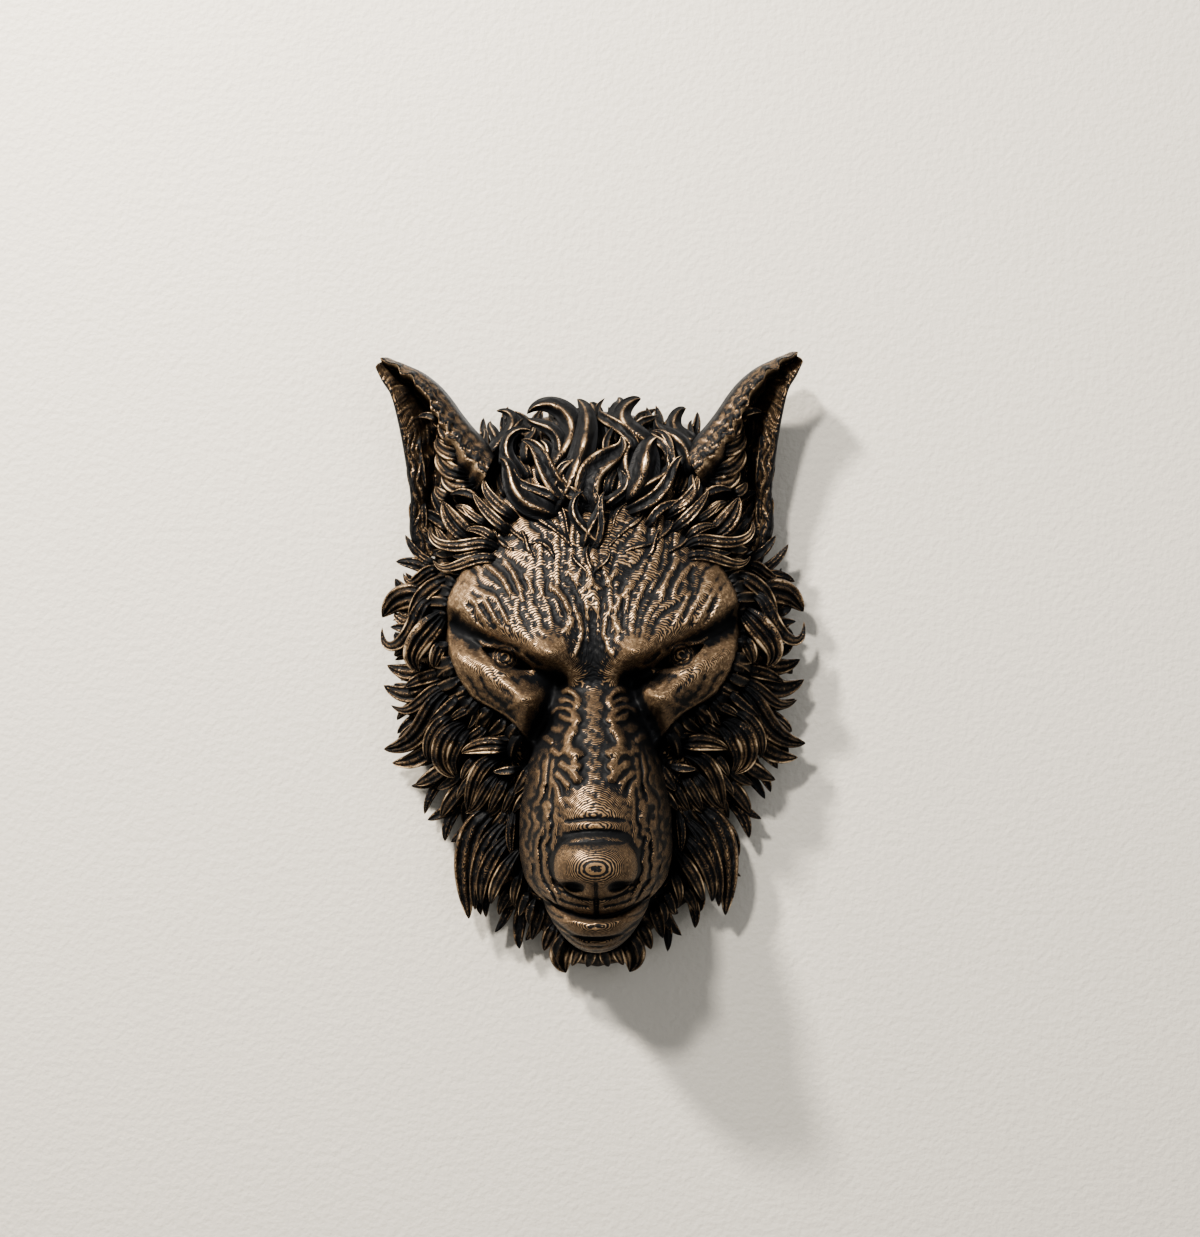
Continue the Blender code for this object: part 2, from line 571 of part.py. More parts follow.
def main():
    for old in list(bpy.data.objects):
        bpy.data.objects.remove(old)
    pieces = [head_mesh()]
    for lock in SIDE_OUTLINE_LOCKS + CHEEK_LOCKS + TEMPLE_LOCKS:
        points, faces = lock_mesh(*lock)
        pieces.append((points, faces))
        pieces.append((mirrored(points), faces))
    for lock in CROWN_LOCKS:
        pieces.append(lock_mesh(*lock))
    points, faces = ear_mesh()
    pieces.append((points, faces))
    pieces.append((mirrored(points), faces))
    mask = new_object("wolf_mask", pieces)
    fuse(mask)
    keep_largest_shell(mask)
    thin_out(mask)
    cut(mask, "behind_wall", block_mesh())
    cut(mask, "hanging_slot", slot_mesh())
    mask.data.materials.clear()
    mask.data.materials.append(painted_plastic())


main()
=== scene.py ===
import math
import bpy
import numpy as np
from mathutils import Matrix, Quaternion, Vector


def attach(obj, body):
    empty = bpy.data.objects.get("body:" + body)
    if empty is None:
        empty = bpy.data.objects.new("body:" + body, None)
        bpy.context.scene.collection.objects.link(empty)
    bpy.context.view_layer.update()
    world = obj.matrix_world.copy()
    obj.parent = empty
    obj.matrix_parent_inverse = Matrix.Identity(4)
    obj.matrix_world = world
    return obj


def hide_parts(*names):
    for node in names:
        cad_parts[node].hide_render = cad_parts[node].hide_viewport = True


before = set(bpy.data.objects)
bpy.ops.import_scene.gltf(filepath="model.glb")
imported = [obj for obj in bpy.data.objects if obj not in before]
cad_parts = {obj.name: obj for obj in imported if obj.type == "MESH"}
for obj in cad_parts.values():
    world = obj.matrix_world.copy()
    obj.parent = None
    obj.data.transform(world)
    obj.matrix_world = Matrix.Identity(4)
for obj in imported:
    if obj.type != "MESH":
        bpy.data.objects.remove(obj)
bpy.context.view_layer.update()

# A wolf's head wall mask, printed in layers and dry-brushed with copper over black.
# Shapes are in millimetres, x right, z up, depth out from the wall; putMesh turns them to metres, y = -depth.

mm = 0.001

view = {  # the camera that took the photograph, in mm and in the photograph's pixels
    "right": 3.2,
    "up": 20.0,
    "away": 900.0,
    "sensor": 36.0,
    "lens": 56.94,
    "pixels": 1956.5,  # the lens in pixels: 56.94 / 36 of the frame's height
    "middle": (600.0, 618.5),
    "roll": 0.8,  # degrees
    "cosine": 0.9999,  # of the roll, to four figures
    "sine": 0.01396,
}


def smoothStep(t):  # 0 below 0, 1 above 1, 3t^2 - 2t^3 between
    t = np.clip(t, 0.0, 1.0)
    return t * t * (3.0 - 2.0 * t)


def along(stations, at):
    # cubic through (place, value) pairs, its slope at each the harmonic mean of its neighbours'
    p = np.array(stations, float)
    x, y = p[:, 0], p[:, 1]
    h = np.diff(x)
    d = np.diff(y) / h
    m = np.zeros_like(y)
    same = d[:-1] * d[1:] > 0
    w1, w2 = 2 * h[1:] + h[:-1], h[1:] + 2 * h[:-1]
    before, after = np.where(same, d[:-1], 1.0), np.where(same, d[1:], 1.0)
    m[1:-1] = np.where(same, (w1 + w2) / (w1 / before + w2 / after), 0.0)
    m[0], m[-1] = d[0], d[-1]
    at = np.clip(at, x[0], x[-1])
    i = np.clip(np.searchsorted(x, at, side="right") - 1, 0, len(h) - 1)
    t = (at - x[i]) / h[i]
    return ((2 * t**3 - 3 * t**2 + 1) * y[i] + (t**3 - 2 * t**2 + t) * h[i] * m[i]
            + (3 * t**2 - 2 * t**3) * y[i + 1] + (t**3 - t**2) * h[i] * m[i + 1])


def smoothMax(a, b, k):  # the larger of two depths, with a fillet about k wide where they cross
    t = np.clip(0.5 + 0.5 * (a - b) / k, 0.0, 1.0)
    return b + (a - b) * t + k * t * (1.0 - t)


def boss(x, z, middle, radii):  # bell: e to the minus squared distance, in radii
    return np.exp(-(((x - middle[0]) / radii[0]) ** 2) - ((z - middle[1]) / radii[1]) ** 2)


def fold(x, z, start, end, above, below, sag=0.0):
    # share along a line, and a bell across it with its own width on each side
    ux, uz = np.subtract(end, start)
    length = math.hypot(ux, uz)
    ux, uz = ux / length, uz / length
    s = ((x - start[0]) * ux + (z - start[1]) * uz) / length
    d = (z - start[1]) * ux - (x - start[0]) * uz
    t = np.clip(s, 0, 1)
    d = d + sag * 4 * t * (1 - t)
    over = np.maximum(0, np.maximum(-s, s - 1)) * length
    w = np.where(d > 0, above, below)
    return t, np.exp(-((d / w) ** 2) - (over / (0.5 * (above + below))) ** 2)


def waves(x, z, size, seed):
    # smooth noise about -1 to 1: a sum of sines of wavelengths near size, in seeded directions
    r = np.random.default_rng(seed)
    total = np.zeros_like(x)
    for n in range(6):
        turn, phase, k = r.uniform(0, 2 * math.pi), r.uniform(0, 2 * math.pi), r.uniform(0.7, 1.5)
        total += np.sin(2 * math.pi * k / size * (x * math.cos(turn) + z * math.sin(turn)) + phase)
    return total / 3.0


maneBase = {
    "halfWidth": [(-138.5, 0), (-137, 10), (-131, 17.5), (-124, 23), (-116, 32), (-107, 44), (-90, 53),
                  (-70, 60), (-50, 69),
                  (-30, 77), (-10, 83), (12, 85), (26, 84), (36, 78), (48, 72), (66, 66), (82, 58),
                  (95, 50), (104, 40),
                  (110, 28), (113.5, 14), (115, 0)],
    "dome": [(-138.5, 2), (-132, 9), (-125, 13), (-105, 17), (-70, 24), (-30, 30), (10, 34), (50, 38),
             (75, 36), (92, 28),
             (103, 20), (112, 8), (115, 1)],
    "edge": 8.0,
    "low": -138.3,
    "high": 114.8,
}

face = {
    "low": -128.0,
    "high": 104.0,
    "middle": [(-60, 40), (-40, 50), (-20, 58), (-8, 62), (4, 65), (20, 62), (40, 57), (60, 50),
               (80, 40), (96, 26)],
    "border": [(-60, 22), (-45, 25), (-36.8, 28.5), (-30, 34), (-22.5, 41), (-12.5, 57), (1.6, 64.5),
               (14, 67), (26, 67),
               (38, 62), (50, 55), (62, 48), (80, 40), (96, 30)],
    "strandGap": 3.6,  # degrees between the strands that fan over the forehead
    "strandHigh": ((8, 20, 48, 62, 80), (0.20, 0.40, 0.52, 0.70, 0.85)),
}

muzzle = {
    "top": [(-106, 82), (-100, 89.5), (-92, 93.5), (-80, 96.5), (-68, 96.5), (-60, 95), (-50, 90.5),
            (-35, 81), (-20, 70.5),
            (-10, 62), (-4, 57.5), (2, 57.5), (9, 60)],
    "halfWidth": [(-106, 4), (-105, 12), (-103, 20), (-99, 27.5), (-92, 32.2), (-80, 34.2), (-65, 33.8),
                  (-50, 31.5),
                  (-37, 27.5), (-28, 23.5), (-20, 18.5), (-10, 14.5), (-4, 13), (2, 12), (9, 11)],
    "foot": [(-106, 30), (-60, 24), (-40, 32), (-4, 43), (9, 48)],
    "furrowGap": 4.3,
    "furrowHigh": 1.25,
}

jaw = {
    "top": [(-125, 52), (-122, 67), (-118, 76), (-114, 80), (-112, 85), (-108, 87.5), (-104, 86),
            (-98, 84), (-90, 80)],
    "halfWidth": [(-125, 5), (-121, 13), (-116, 18), (-110, 21.5), (-104, 24), (-98, 25.5), (-90, 27)],
    "foot": 22.0,
}

nose = {"middleZ": -82.5, "halfWidth": 17.6, "rise": 14.5, "drop": 13.5, "foot": 88.0, "tip": 105.9}

eye = {
    "outer": (48.0, 7.8),
    "inner": (26.5, -1.6),
    "ball": (38.2, 3.9),
    "ballRadius": 8.5,
    "ballDepth": 44.5,
    "rings": 3.6,  # radians of the iris's rings for each mm
}


carving = [  # paths of (x, z) on one side, half-width, height
    # brow and forehead
    ([(47.0, 45.3), (41.2, 40.3), (36.3, 33.7), (35.0, 27.2)], 1.04, 1.0),
    ([(40.3, 46.9), (34.6, 41.1), (31.1, 32.8), (29.3, 25.0)], 1.04, 0.9),
    ([(34.6, 39.8), (31.1, 35.4), (26.8, 29.2)], 0.82, 0.6),
    ([(30.7, 41.5), (27.6, 37.0), (25.0, 30.1)], 0.82, 0.5),
    ([(23.3, 35.2), (20.3, 29.1), (18.2, 23.1), (17.8, 16.2)], 0.86, 0.8),
    ([(19.8, 34.3), (14.7, 31.6), (11.3, 26.9), (9.2, 20.4)], 1.20, 1.1),
    ([(9.2, 22.1), (10.1, 17.0), (13.1, 13.2)], 1.37, 1.2),
    ([(16.8, 30.4), (14.7, 25.6), (13.9, 20.5)], 0.77, 0.6),
    ([(11.2, 42.0), (8.2, 37.2), (5.2, 33.2)], 0.95, 0.8),
    ([(8.3, 29.8), (7.0, 22.9), (5.0, 14.3), (6.8, 6.7), (9.9, 0.7)], 0.86, 1.0),
    ([(0.0, 51.8), (0.0, 44.4), (0.0, 37.4), (0.0, 32.3)], 1.30, 0.6),
    ([(0.0, 36.0), (2.6, 33.2), (4.8, 32.4)], 0.90, 0.4),
    ([(2.2, 29.0), (2.6, 22.0), (2.2, 15.0), (2.4, 8.0)], 0.80, 0.7),
    ([(5.6, 30.0), (5.0, 22.0), (4.2, 15.0), (4.6, 9.0)], 0.70, 0.5),
    ([(3.8, 47.1), (5.1, 41.0), (7.8, 35.4)], 0.86, 0.6),
    ([(52.8, 31.4), (48.4, 23.5), (43.0, 14.8)], 0.85, 0.9),
    ([(56.8, 29.7), (52.1, 21.0), (46.3, 14.0)], 0.85, 0.9),
    ([(48.0, 33.0), (43.6, 24.3), (38.5, 14.8)], 0.85, 0.9),
    ([(43.2, 33.0), (38.8, 24.2), (34.5, 15.6)], 0.85, 0.9),
    ([(30.8, 8.7), (27.4, 1.7), (21.7, -1.0), (17.3, -1.0)], 1.12, 1.0),
    ([(25.9, 11.2), (24.2, 7.0), (22.1, 4.8)], 0.85, 0.6),
    # eye and cheek
    ([(52.1, 13.1), (47.2, 9.6), (41.4, 7.2), (31.9, 6.5)], 0.87, 1.3),
    ([(48.0, 6.9), (44.2, 3.1), (39.0, 0.5), (31.5, 0.2), (27.4, 2.2)], 0.87, 1.0),
    ([(51.3, 5.4), (46.2, 0.7), (40.1, -2.4), (30.8, -4.8)], 1.04, 0.6),
    ([(35.3, -15.1), (30.4, -14.1), (25.8, -13.0), (22.2, -13.4)], 1.28, 1.0),
    ([(39.2, -18.9), (34.1, -16.9), (29.1, -14.6)], 0.94, 0.7),
    ([(25.4, -16.0), (23.6, -19.4), (24.6, -23.0)], 0.86, 0.6),
    ([(29.9, -21.2), (28.4, -24.9), (29.5, -29.1)], 0.86, 0.5),
    ([(67.2, 15.9), (64.7, 4.9), (61.8, -4.4), (57.0, -13.2)], 1.14, 1.2),
    ([(57.0, -13.2), (49.2, -18.6), (40.5, -24.9), (34.0, -32.0), (31.4, -37.3)], 1.23, 1.4),
    # wrinkles of the muzzle
    ([(15.1, -13.1), (10.6, -11.0), (7.1, -13.8), (6.3, -17.5)], 1.40, 2.4),
    ([(16.5, -16.6), (11.9, -14.8), (8.8, -15.9), (6.3, -19.2)], 1.40, 2.2),
    ([(20.0, -22.6), (16.9, -19.4), (11.9, -18.1), (8.0, -20.8), (5.0, -24.9)], 1.77, 3.1),
    ([(16.4, -19.7), (13.2, -21.8), (9.3, -23.3), (7.6, -26.1)], 1.61, 2.4),
    ([(8.8, -23.3), (9.7, -28.2), (11.0, -31.8), (8.9, -35.0), (4.7, -38.2)], 2.16, 3.6),
    ([(14.9, -34.1), (11.4, -36.3), (8.5, -39.8), (4.8, -43.3)], 2.00, 3.2),
    ([(15.7, -39.4), (11.9, -41.9), (8.5, -44.9), (6.0, -48.9)], 2.00, 3.2),
    ([(17.0, -43.1), (13.6, -47.1), (9.4, -49.7)], 1.58, 2.0),
    ([(20.1, -47.1), (16.6, -49.4), (14.9, -53.6), (16.2, -58.1)], 1.58, 2.2),
    ([(23.7, -30.1), (19.9, -31.2), (17.1, -32.3)], 1.64, 2.0),
    ([(19.4, -35.0), (16.2, -36.2), (13.6, -38.0)], 1.46, 1.4),
    # furrows down its side and round the lip
    ([(21.9, -56.2), (21.0, -60.8), (19.7, -64.5)], 1.15, 1.8),
    ([(27.5, -60.1), (26.1, -64.6), (25.6, -70.0)], 1.01, 1.5),
    ([(22.3, -64.3), (23.7, -71.9), (24.7, -77.0), (22.5, -84.0)], 1.15, 2.0),
    ([(28.0, -72.1), (28.0, -78.2), (27.7, -85.9), (26.0, -91.5)], 1.01, 1.5),
    ([(31.0, -61.7), (32.0, -72.5), (30.8, -78.9), (29.6, -83.2)], 1.02, 1.5),
    ([(34.0, -58.7), (33.6, -66.0), (34.6, -74.6), (33.0, -83.2)], 1.17, 1.7),
    ([(30.5, -85.8), (29.3, -91.8), (25.9, -97.0), (19.3, -100.0)], 1.17, 1.7),
    ([(33.1, -86.6), (31.0, -94.0), (26.4, -99.6), (20.0, -103.7), (10.2, -101.2)], 1.27, 2.0),
    ([(34.9, -91.8), (32.0, -99.1), (25.6, -105.2), (17.8, -107.3), (6.1, -104.9)], 1.49, 2.5),
    ([(21.4, -91.7), (19.8, -95.0), (16.4, -97.2)], 0.89, 1.1),
    ([(14.9, -89.9), (12.4, -92.6), (8.7, -93.0), (4.9, -92.3)], 0.98, 1.5),
    ([(25.2, -42.9), (27.0, -51.1), (28.8, -57.5)], 1.17, 1.0),
    ([(21.2, -40.2), (23.4, -47.9), (24.3, -54.9)], 1.17, 1.0),
    # hollows
    ([(20.0, -30.0), (16.2, -30.2), (13.2, -31.6)], 1.88, -1.2),
    ([(20.6, -49.2), (19.7, -53.0), (20.1, -57.0)], 1.64, -1.4),
    ([(15.7, -45.7), (14.0, -51.1), (15.7, -57.6)], 1.30, -1.1),
    ([(24.2, -58.0), (24.2, -61.6), (24.6, -65.7)], 1.49, -1.2),
    ([(13.2, -35.2), (10.2, -37.8), (6.8, -41.3)], 0.82, -0.4),
    ([(13.6, -41.2), (10.2, -43.8), (7.3, -47.3)], 0.81, -0.4),
    ([(21.0, -65.2), (20.6, -72.0), (20.3, -80.2)], 1.22, -0.8),
    ([(14.1, -17.4), (11.0, -16.4), (8.0, -18.4)], 0.66, -0.4),
    ([(12.3, -13.6), (9.7, -13.5), (8.4, -15.5)], 0.68, -0.4),
]


def through(path, s):  # the one polynomial curve through all the points, each at its share of the length
    p = np.array(path, float)
    place = np.concatenate([[0], np.cumsum(np.linalg.norm(np.diff(p, axis=0), axis=1))])
    return np.vander(s, len(p)) @ np.linalg.solve(np.vander(place / place[-1]), p)


def carve(x, z, rows, steps=14):
    # for each row a bell across its path, thinning to nothing at both ends; added up
    ax = np.abs(x)
    total = np.zeros_like(x)
    for path, width, high in rows:
        at = through(path, np.linspace(0, 1, steps + 1))
        low, top = at.min(0) - 3 * width, at.max(0) + 3 * width
        near = (ax > low[0]) & (ax < top[0]) & (z > low[1]) & (z < top[1])
        px, pz = ax[near], z[near]
        best, share = np.full(px.shape, 1e9), np.zeros(px.shape)
        for k in range(steps):
            ux, uz = at[k + 1] - at[k]
            t = np.clip(((px - at[k, 0]) * ux + (pz - at[k, 1]) * uz) / (ux * ux + uz * uz), 0, 1)
            d = (px - at[k, 0] - t * ux) ** 2 + (pz - at[k, 1] - t * uz) ** 2
            share = np.where(d < best, (k + t) / steps, share)
            best = np.minimum(d, best)
        total[near] += (high * np.exp(-best / width**2)
                        * smoothStep(share / 0.22) * smoothStep((1 - share) / 0.22))
    return total


def domeDepth(x, z):  # an edge wall, then a dome whose height falls off with the share of the half-width
    r = np.clip(np.abs(x) / np.maximum(along(maneBase["halfWidth"], z), 1e-3), 0, 1)
    return maneBase["edge"] + along(maneBase["dome"], z) * (1 - r**2.6) ** 0.6


def faceDepth(x, z):  # a curved shield plus bells for brow, socket, creases and cheek
    ax = np.abs(x)
    h = along(face["middle"], z) - 15.0 * (ax / 57.0) ** 2.4
    h = h + 6.0 * boss(ax, z, (19, 4.5), (9, 8))  # inner end of the brow
    t, b = fold(ax, z, (20, 5), (57, 25), 19, 5, sag=2.5)
    h = h + (3.0 + 6.0 * t) * b
    h = h + 1.2 * fold(x, z, (0, 26), (0, 46), 4, 4)[1]
    t, b = fold(ax, z, (21.5, -5.5), (60, 16), 6.5, 9.5, sag=-1.0)  # socket
    h = h - (11.5 - 6.5 * t) * b
    h = h - 7.0 * fold(ax, z, (15, -7), (27, -32), 4, 4)[1]  # crease beside the root of the muzzle
    t, b = fold(ax, z, (27, -14), (58, 5), 8, 9)  # cheekbone
    h = h + (12.0 - 5.0 * t) * b
    h = h + 4.0 * fold(ax, z, (28, -36), (30, -16), 7, 7)[1]
    return h - 2.0 * boss(x, z, (0, 4), (9, 16))


def eyeOpening(x, z):
    # mm inside the opening between two arcs, less than 0 outside; and the share of the way along it, -1 to 1
    ax = np.abs(x)
    middle = 0.5 * np.add(eye["outer"], eye["inner"])
    ux, uz = np.subtract(eye["inner"], eye["outer"])
    half = 0.5 * math.hypot(ux, uz)
    ux, uz = ux / (2 * half), uz / (2 * half)
    u = ((ax - middle[0]) * ux + (z - middle[1]) * uz) / half
    v = (ax - middle[0]) * uz - (z - middle[1]) * ux
    t = np.clip(1 - u**2, 0, 1)
    inside = np.minimum(2.6 * t**0.8 - v, v + 3.6 * t)
    return np.where(np.abs(u) < 1, inside, -np.hypot((np.abs(u) - 1) * half, v)), u


def eyeDepth(x, z, h):  # a ball seen through the opening, with a raised lid round it
    ax = np.abs(x)
    inside, u = eyeOpening(x, z)
    bx, bz = eye["ball"]
    within = eye["ballRadius"] ** 2 - (ax - bx) ** 2 - 1.2 * (z - bz) ** 2
    ball = eye["ballDepth"] + np.sqrt(np.maximum(0, within))
    r = np.hypot(ax - bx, z - bz)
    ball = ball + 0.12 * np.cos(eye["rings"] * r) * smoothStep((6 - r) / 2) - 0.4 * np.exp(-((r / 0.9) ** 2))
    near = smoothStep((13 - np.hypot(ax - bx, 1.3 * (z - bz))) / 5)
    lid = h + near * (np.maximum(h, ball + 0.8) - h)
    lid = lid + near * 1.3 * np.exp(-(((inside + 1.5) / 1.2) ** 2)) * smoothStep((1.5 - np.abs(u)) / 0.4)
    return lid + smoothStep(inside / 1.1 + 0.35) * (np.minimum(ball, lid - 0.6) - lid)


def barrel(x, top, w, foot, power=2.7):  # upright round front: foot + height * (1 - r^power)^0.5
    r = np.abs(x) / w
    front = (top - foot) * np.maximum(0, 1 - np.clip(r, 0, 1) ** power) ** 0.5
    return foot + front - np.maximum(0, r - 1) * w * 4.0


def muzzleDepth(x, z):
    h = barrel(x, along(muzzle["top"], z), along(muzzle["halfWidth"], z), along(muzzle["foot"], z), 2.1)
    return h - np.maximum(0, z - 6) * 3.0 - np.maximum(0, -106 - z) * 12.0


def jawDepth(x, z):
    h = barrel(x, along(jaw["top"], z), along(jaw["halfWidth"], z), jaw["foot"])
    return h - np.maximum(0, z + 90) * 3.0 - np.maximum(0, -125 - z) * 12.0


def noseDepth(x, z):  # a pad whose outline is a superellipse, round over its edge
    up = z - nose["middleZ"]
    r = np.abs(x / nose["halfWidth"]) ** 2.3 + np.abs(up / np.where(up > 0, nose["rise"], nose["drop"])) ** 2.1
    tip = nose["tip"] - 0.010 * (z + 79.0) ** 2
    pad = nose["foot"] + (tip - nose["foot"]) * np.maximum(0, 1 - np.clip(r, 0, 1)) ** 0.42
    return np.where(r < 1, pad, nose["foot"] - (r - 1) * 30)


def ridges(phase, sharp=0.7):  # rounded ridges with sharp valleys, -1 to 1, one for each 2 pi of phase
    return 2.0 * np.abs(np.cos(0.5 * phase)) ** sharp - 1.0


def foreheadStrands(x, z):  # ridges at equal angles about a point below the brows, bent by smooth noise
    turn = np.degrees(np.arctan2(x, z + 34.0))
    bend = 2.2 * waves(np.abs(x), z, 40, 3) + 0.6 * waves(x, z, 16, 4)
    fine = ridges(2 * math.pi * (turn + bend) / face["strandGap"])
    broad = ridges(2 * math.pi * (turn + 1.5 * bend) / (2.6 * face["strandGap"]) + 1.0)
    where = smoothStep((z - 0.30 * np.abs(x) + 8) / 14)
    where = where * smoothStep((along(face["border"], z) + 4 - np.abs(x)) / 8)
    uneven = 0.8 + 0.2 * waves(x, z, 18, 5)
    high = np.interp(z, face["strandHigh"][0], face["strandHigh"][1])
    return high * where * uneven * (0.6 * fine + 0.7 * broad)


def cheekStrands(x, z):  # ridges along the cheek, from its outer end down to its tip
    ax = np.abs(x)
    phase = 2 * math.pi * (0.80 * ax + 0.60 * -z + 1.2 * waves(ax, z, 22, 6)) / 5.5
    where = smoothStep((ax - 24) / 8) * smoothStep((6 - z + 0.3 * (ax - 30)) / 8) * smoothStep((z + 50) / 8)
    where = where * smoothStep((along(face["border"], z) - 4 - ax) / 5)
    return 0.30 * where * ridges(phase)


def muzzleFurrows(x, z):  # ridges at equal distances in from the muzzle's outline, which waver and break off
    ax = np.abs(x)
    w = along(muzzle["halfWidth"], z)
    inward = (w - ax) + 1.5 * waves(ax, z, 20, 8) + 0.6 * waves(x, z, 8, 9)
    where = smoothStep((ax - 14.5 - 0.05 * (z + 60)) / 4) * smoothStep((w + 1 - ax) / 2)
    where = where * smoothStep((-34 - z) / 10) * smoothStep((z + 106) / 4)
    uneven = 0.8 + 0.2 * waves(x, z, 13, 10)
    return muzzle["furrowHigh"] * where * uneven * ridges(2 * math.pi * inward / muzzle["furrowGap"], 1.0)


def headDepth(x, z, fine=False):
    dome = domeDepth(x, z)
    front = eyeDepth(x, z, faceDepth(x, z))
    inside = smoothStep((along(face["border"], z) - np.abs(x)) / 6.0 + 0.25)
    inside = inside * smoothStep((z + 62) / 12) * smoothStep((96 - z) / 30)
    h = dome + inside * (np.maximum(front, dome) - dome)
    if fine:
        h = h + foreheadStrands(x, z) + cheekStrands(x, z)
    snout = muzzleDepth(x, z)
    if fine:
        snout = snout + muzzleFurrows(x, z)
    h = smoothMax(h, snout, 4.0)
    h = smoothMax(h, jawDepth(x, z), 1.5)
    h = smoothMax(h, noseDepth(x, z), 3.5)
    ax = np.abs(x)
    # the mouth, then the groove under the lip
    h = h - 4.0 * np.exp(-(((z + 104.6 - 0.012 * x**2) / 1.1) ** 2)) * smoothStep((25 - ax) / 5)
    h = h - 2.6 * np.exp(-(((z + 114.5 - 0.018 * x**2) / 1.3) ** 2)) * smoothStep((21 - ax) / 5)
    if fine:
        for level in (-118.2, -121.4):
            crease = (z - level - 0.022 * x**2 - 0.5 * waves(x, z, 12, 13)) / 0.8
            h = h - 0.8 * np.exp(-(crease**2)) * smoothStep((21 - ax) / 4)
    h = h - 9.0 * np.exp(-(np.hypot((ax - 9.5) / 4.6, (z + 90.5) / 2.9) ** 3))  # nostril
    if fine:
        shut = 1 - smoothStep(eyeOpening(x, z)[0] / 0.8 + 0.5)
        skin = 0.14 * (1 - boss(x, z, (0, -80), (12, 9))) * waves(x, z, 4.0, 12)
        h = h + shut * (carve(x, z, carving) + skin)
        h = h + 1.6 * boss(ax, z, (18.2, 6.2), (4.6, 3.4)) + 1.4 * boss(ax, z, (24.5, -13.0), (3.4, 2.4))
        h = h - 5.0 * np.exp(-(np.hypot((ax - 14.5) / 3.2, (z + 90.0) / 1.6) ** 2))
        # groove from the nose to the mouth
        h = h - 2.4 * np.exp(-((x / 0.9) ** 2)) * smoothStep((-86 - z) / 4) * smoothStep((z + 106) / 3)
        for level, deep in ((-62.5, 0.9), (-67.5, 1.2), (-71.5, 1.4)):  # creases over the nose
            h = h - deep * np.exp(-(((z - level + 0.010 * x**2) / 0.9) ** 2)) * smoothStep((15 - ax) / 6)
        for level in (-95.5, -99.5):  # folds of the upper lip
            crease = (z - level - 0.010 * x**2) / 0.8
            h = h - 0.9 * np.exp(-(crease**2)) * smoothStep((28 - ax) / 6) * smoothStep((ax - 1.5) / 2)
    return h


def normalsOf(points, ring):  # cross product of the differences along and across the grid
    if ring:
        wide = np.concatenate([points[:, -1:], points, points[:, :1]], 1)
        across = 0.5 * (wide[:, 2:] - wide[:, :-2])
    else:
        across = np.gradient(points, axis=1)
    n = np.cross(across, np.gradient(points, axis=0))
    return n / np.maximum(np.linalg.norm(n, axis=-1, keepdims=True), 1e-9)


def blurGrid(a, reach, ring, axes=(0, 1, 0, 1)):  # box mean over reach steps each way, along each axis in turn
    for axis in axes:
        wrap = ring and axis == 1
        pads = [(0, 0)] * a.ndim
        pads[axis] = (reach + 1, reach)
        wide = np.cumsum(np.pad(a, pads, mode="wrap" if wrap else "edge"), axis=axis)
        hi = np.take(wide, range(2 * reach + 1, wide.shape[axis]), axis=axis)
        lo = np.take(wide, range(0, wide.shape[axis] - 2 * reach - 1), axis=axis)
        a = (hi - lo) / (2 * reach + 1)
    return a


def standing(points, ring, reach, gain):
    # how far each point stands out of its blurred surroundings: 0 sunk, 1 proud
    out = ((points - blurGrid(points, reach, ring)) * normalsOf(points, ring)).sum(-1)
    return np.clip(0.5 + out * gain, 0, 1)


def gridFaces(rows, cols, ring, start=0):  # quads between neighbouring rows and columns, closed round a ring
    i, j = np.meshgrid(np.arange(rows - 1), np.arange(cols if ring else cols - 1), indexing="ij")
    a, b = start + i * cols + j, start + i * cols + (j + 1) % cols
    return np.stack([a, b, b + cols, a + cols], -1).reshape(-1, 4)


def putMesh(name, points, quads, ends, raised, edged=False):
    # points in mm, quads (n, 4), ends a list of closing polygons
    mesh = bpy.data.meshes.new(name)
    mesh.vertices.add(len(points))
    mesh.vertices.foreach_set("co", (points * mm).astype(np.float32).ravel())
    sizes = np.concatenate([np.full(len(quads), 4), [len(e) for e in ends]]).astype(np.int32)
    corners = np.concatenate([quads.ravel()] + [np.asarray(e) for e in ends]).astype(np.int32)
    mesh.loops.add(len(corners))
    mesh.loops.foreach_set("vertex_index", corners)
    mesh.polygons.add(len(sizes))
    mesh.polygons.foreach_set("loop_start", np.concatenate([[0], np.cumsum(sizes)[:-1]]).astype(np.int32))
    mesh.update(calc_edges=True)
    mesh.validate()
    mesh.shade_smooth()
    if edged:
        mesh.set_sharp_from_angle(angle=math.radians(40))
    values = raised.astype(np.float32).ravel()
    mesh.attributes.new("raised", "FLOAT", "POINT").data.foreach_set("value", values)
    made = bpy.data.objects.new(name, mesh)
    bpy.context.scene.collection.objects.link(made)
    made.data.materials.append(paint)
    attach(made, "root")
    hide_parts("wolf_mask")
    print(name, len(mesh.vertices), "points")
    return made


def putTubes(name, tubes, edged=False):
    # several closed tubes, each a (rings, around, 3) array and its raised values, as one mesh
    points, quads, ends, raised, start = [], [], [], [], 0
    for tube, high in tubes:
        rings, around = tube.shape[:2]
        points.append(tube.reshape(-1, 3))
        raised.append(high.ravel())
        quads.append(gridFaces(rings, around, True, start))
        ends.append(np.arange(start, start + around)[::-1])
        ends.append(np.arange(start + (rings - 1) * around, start + rings * around))
        start += rings * around
    return putMesh(name, np.concatenate(points), np.concatenate(quads), ends, np.concatenate(raised), edged)


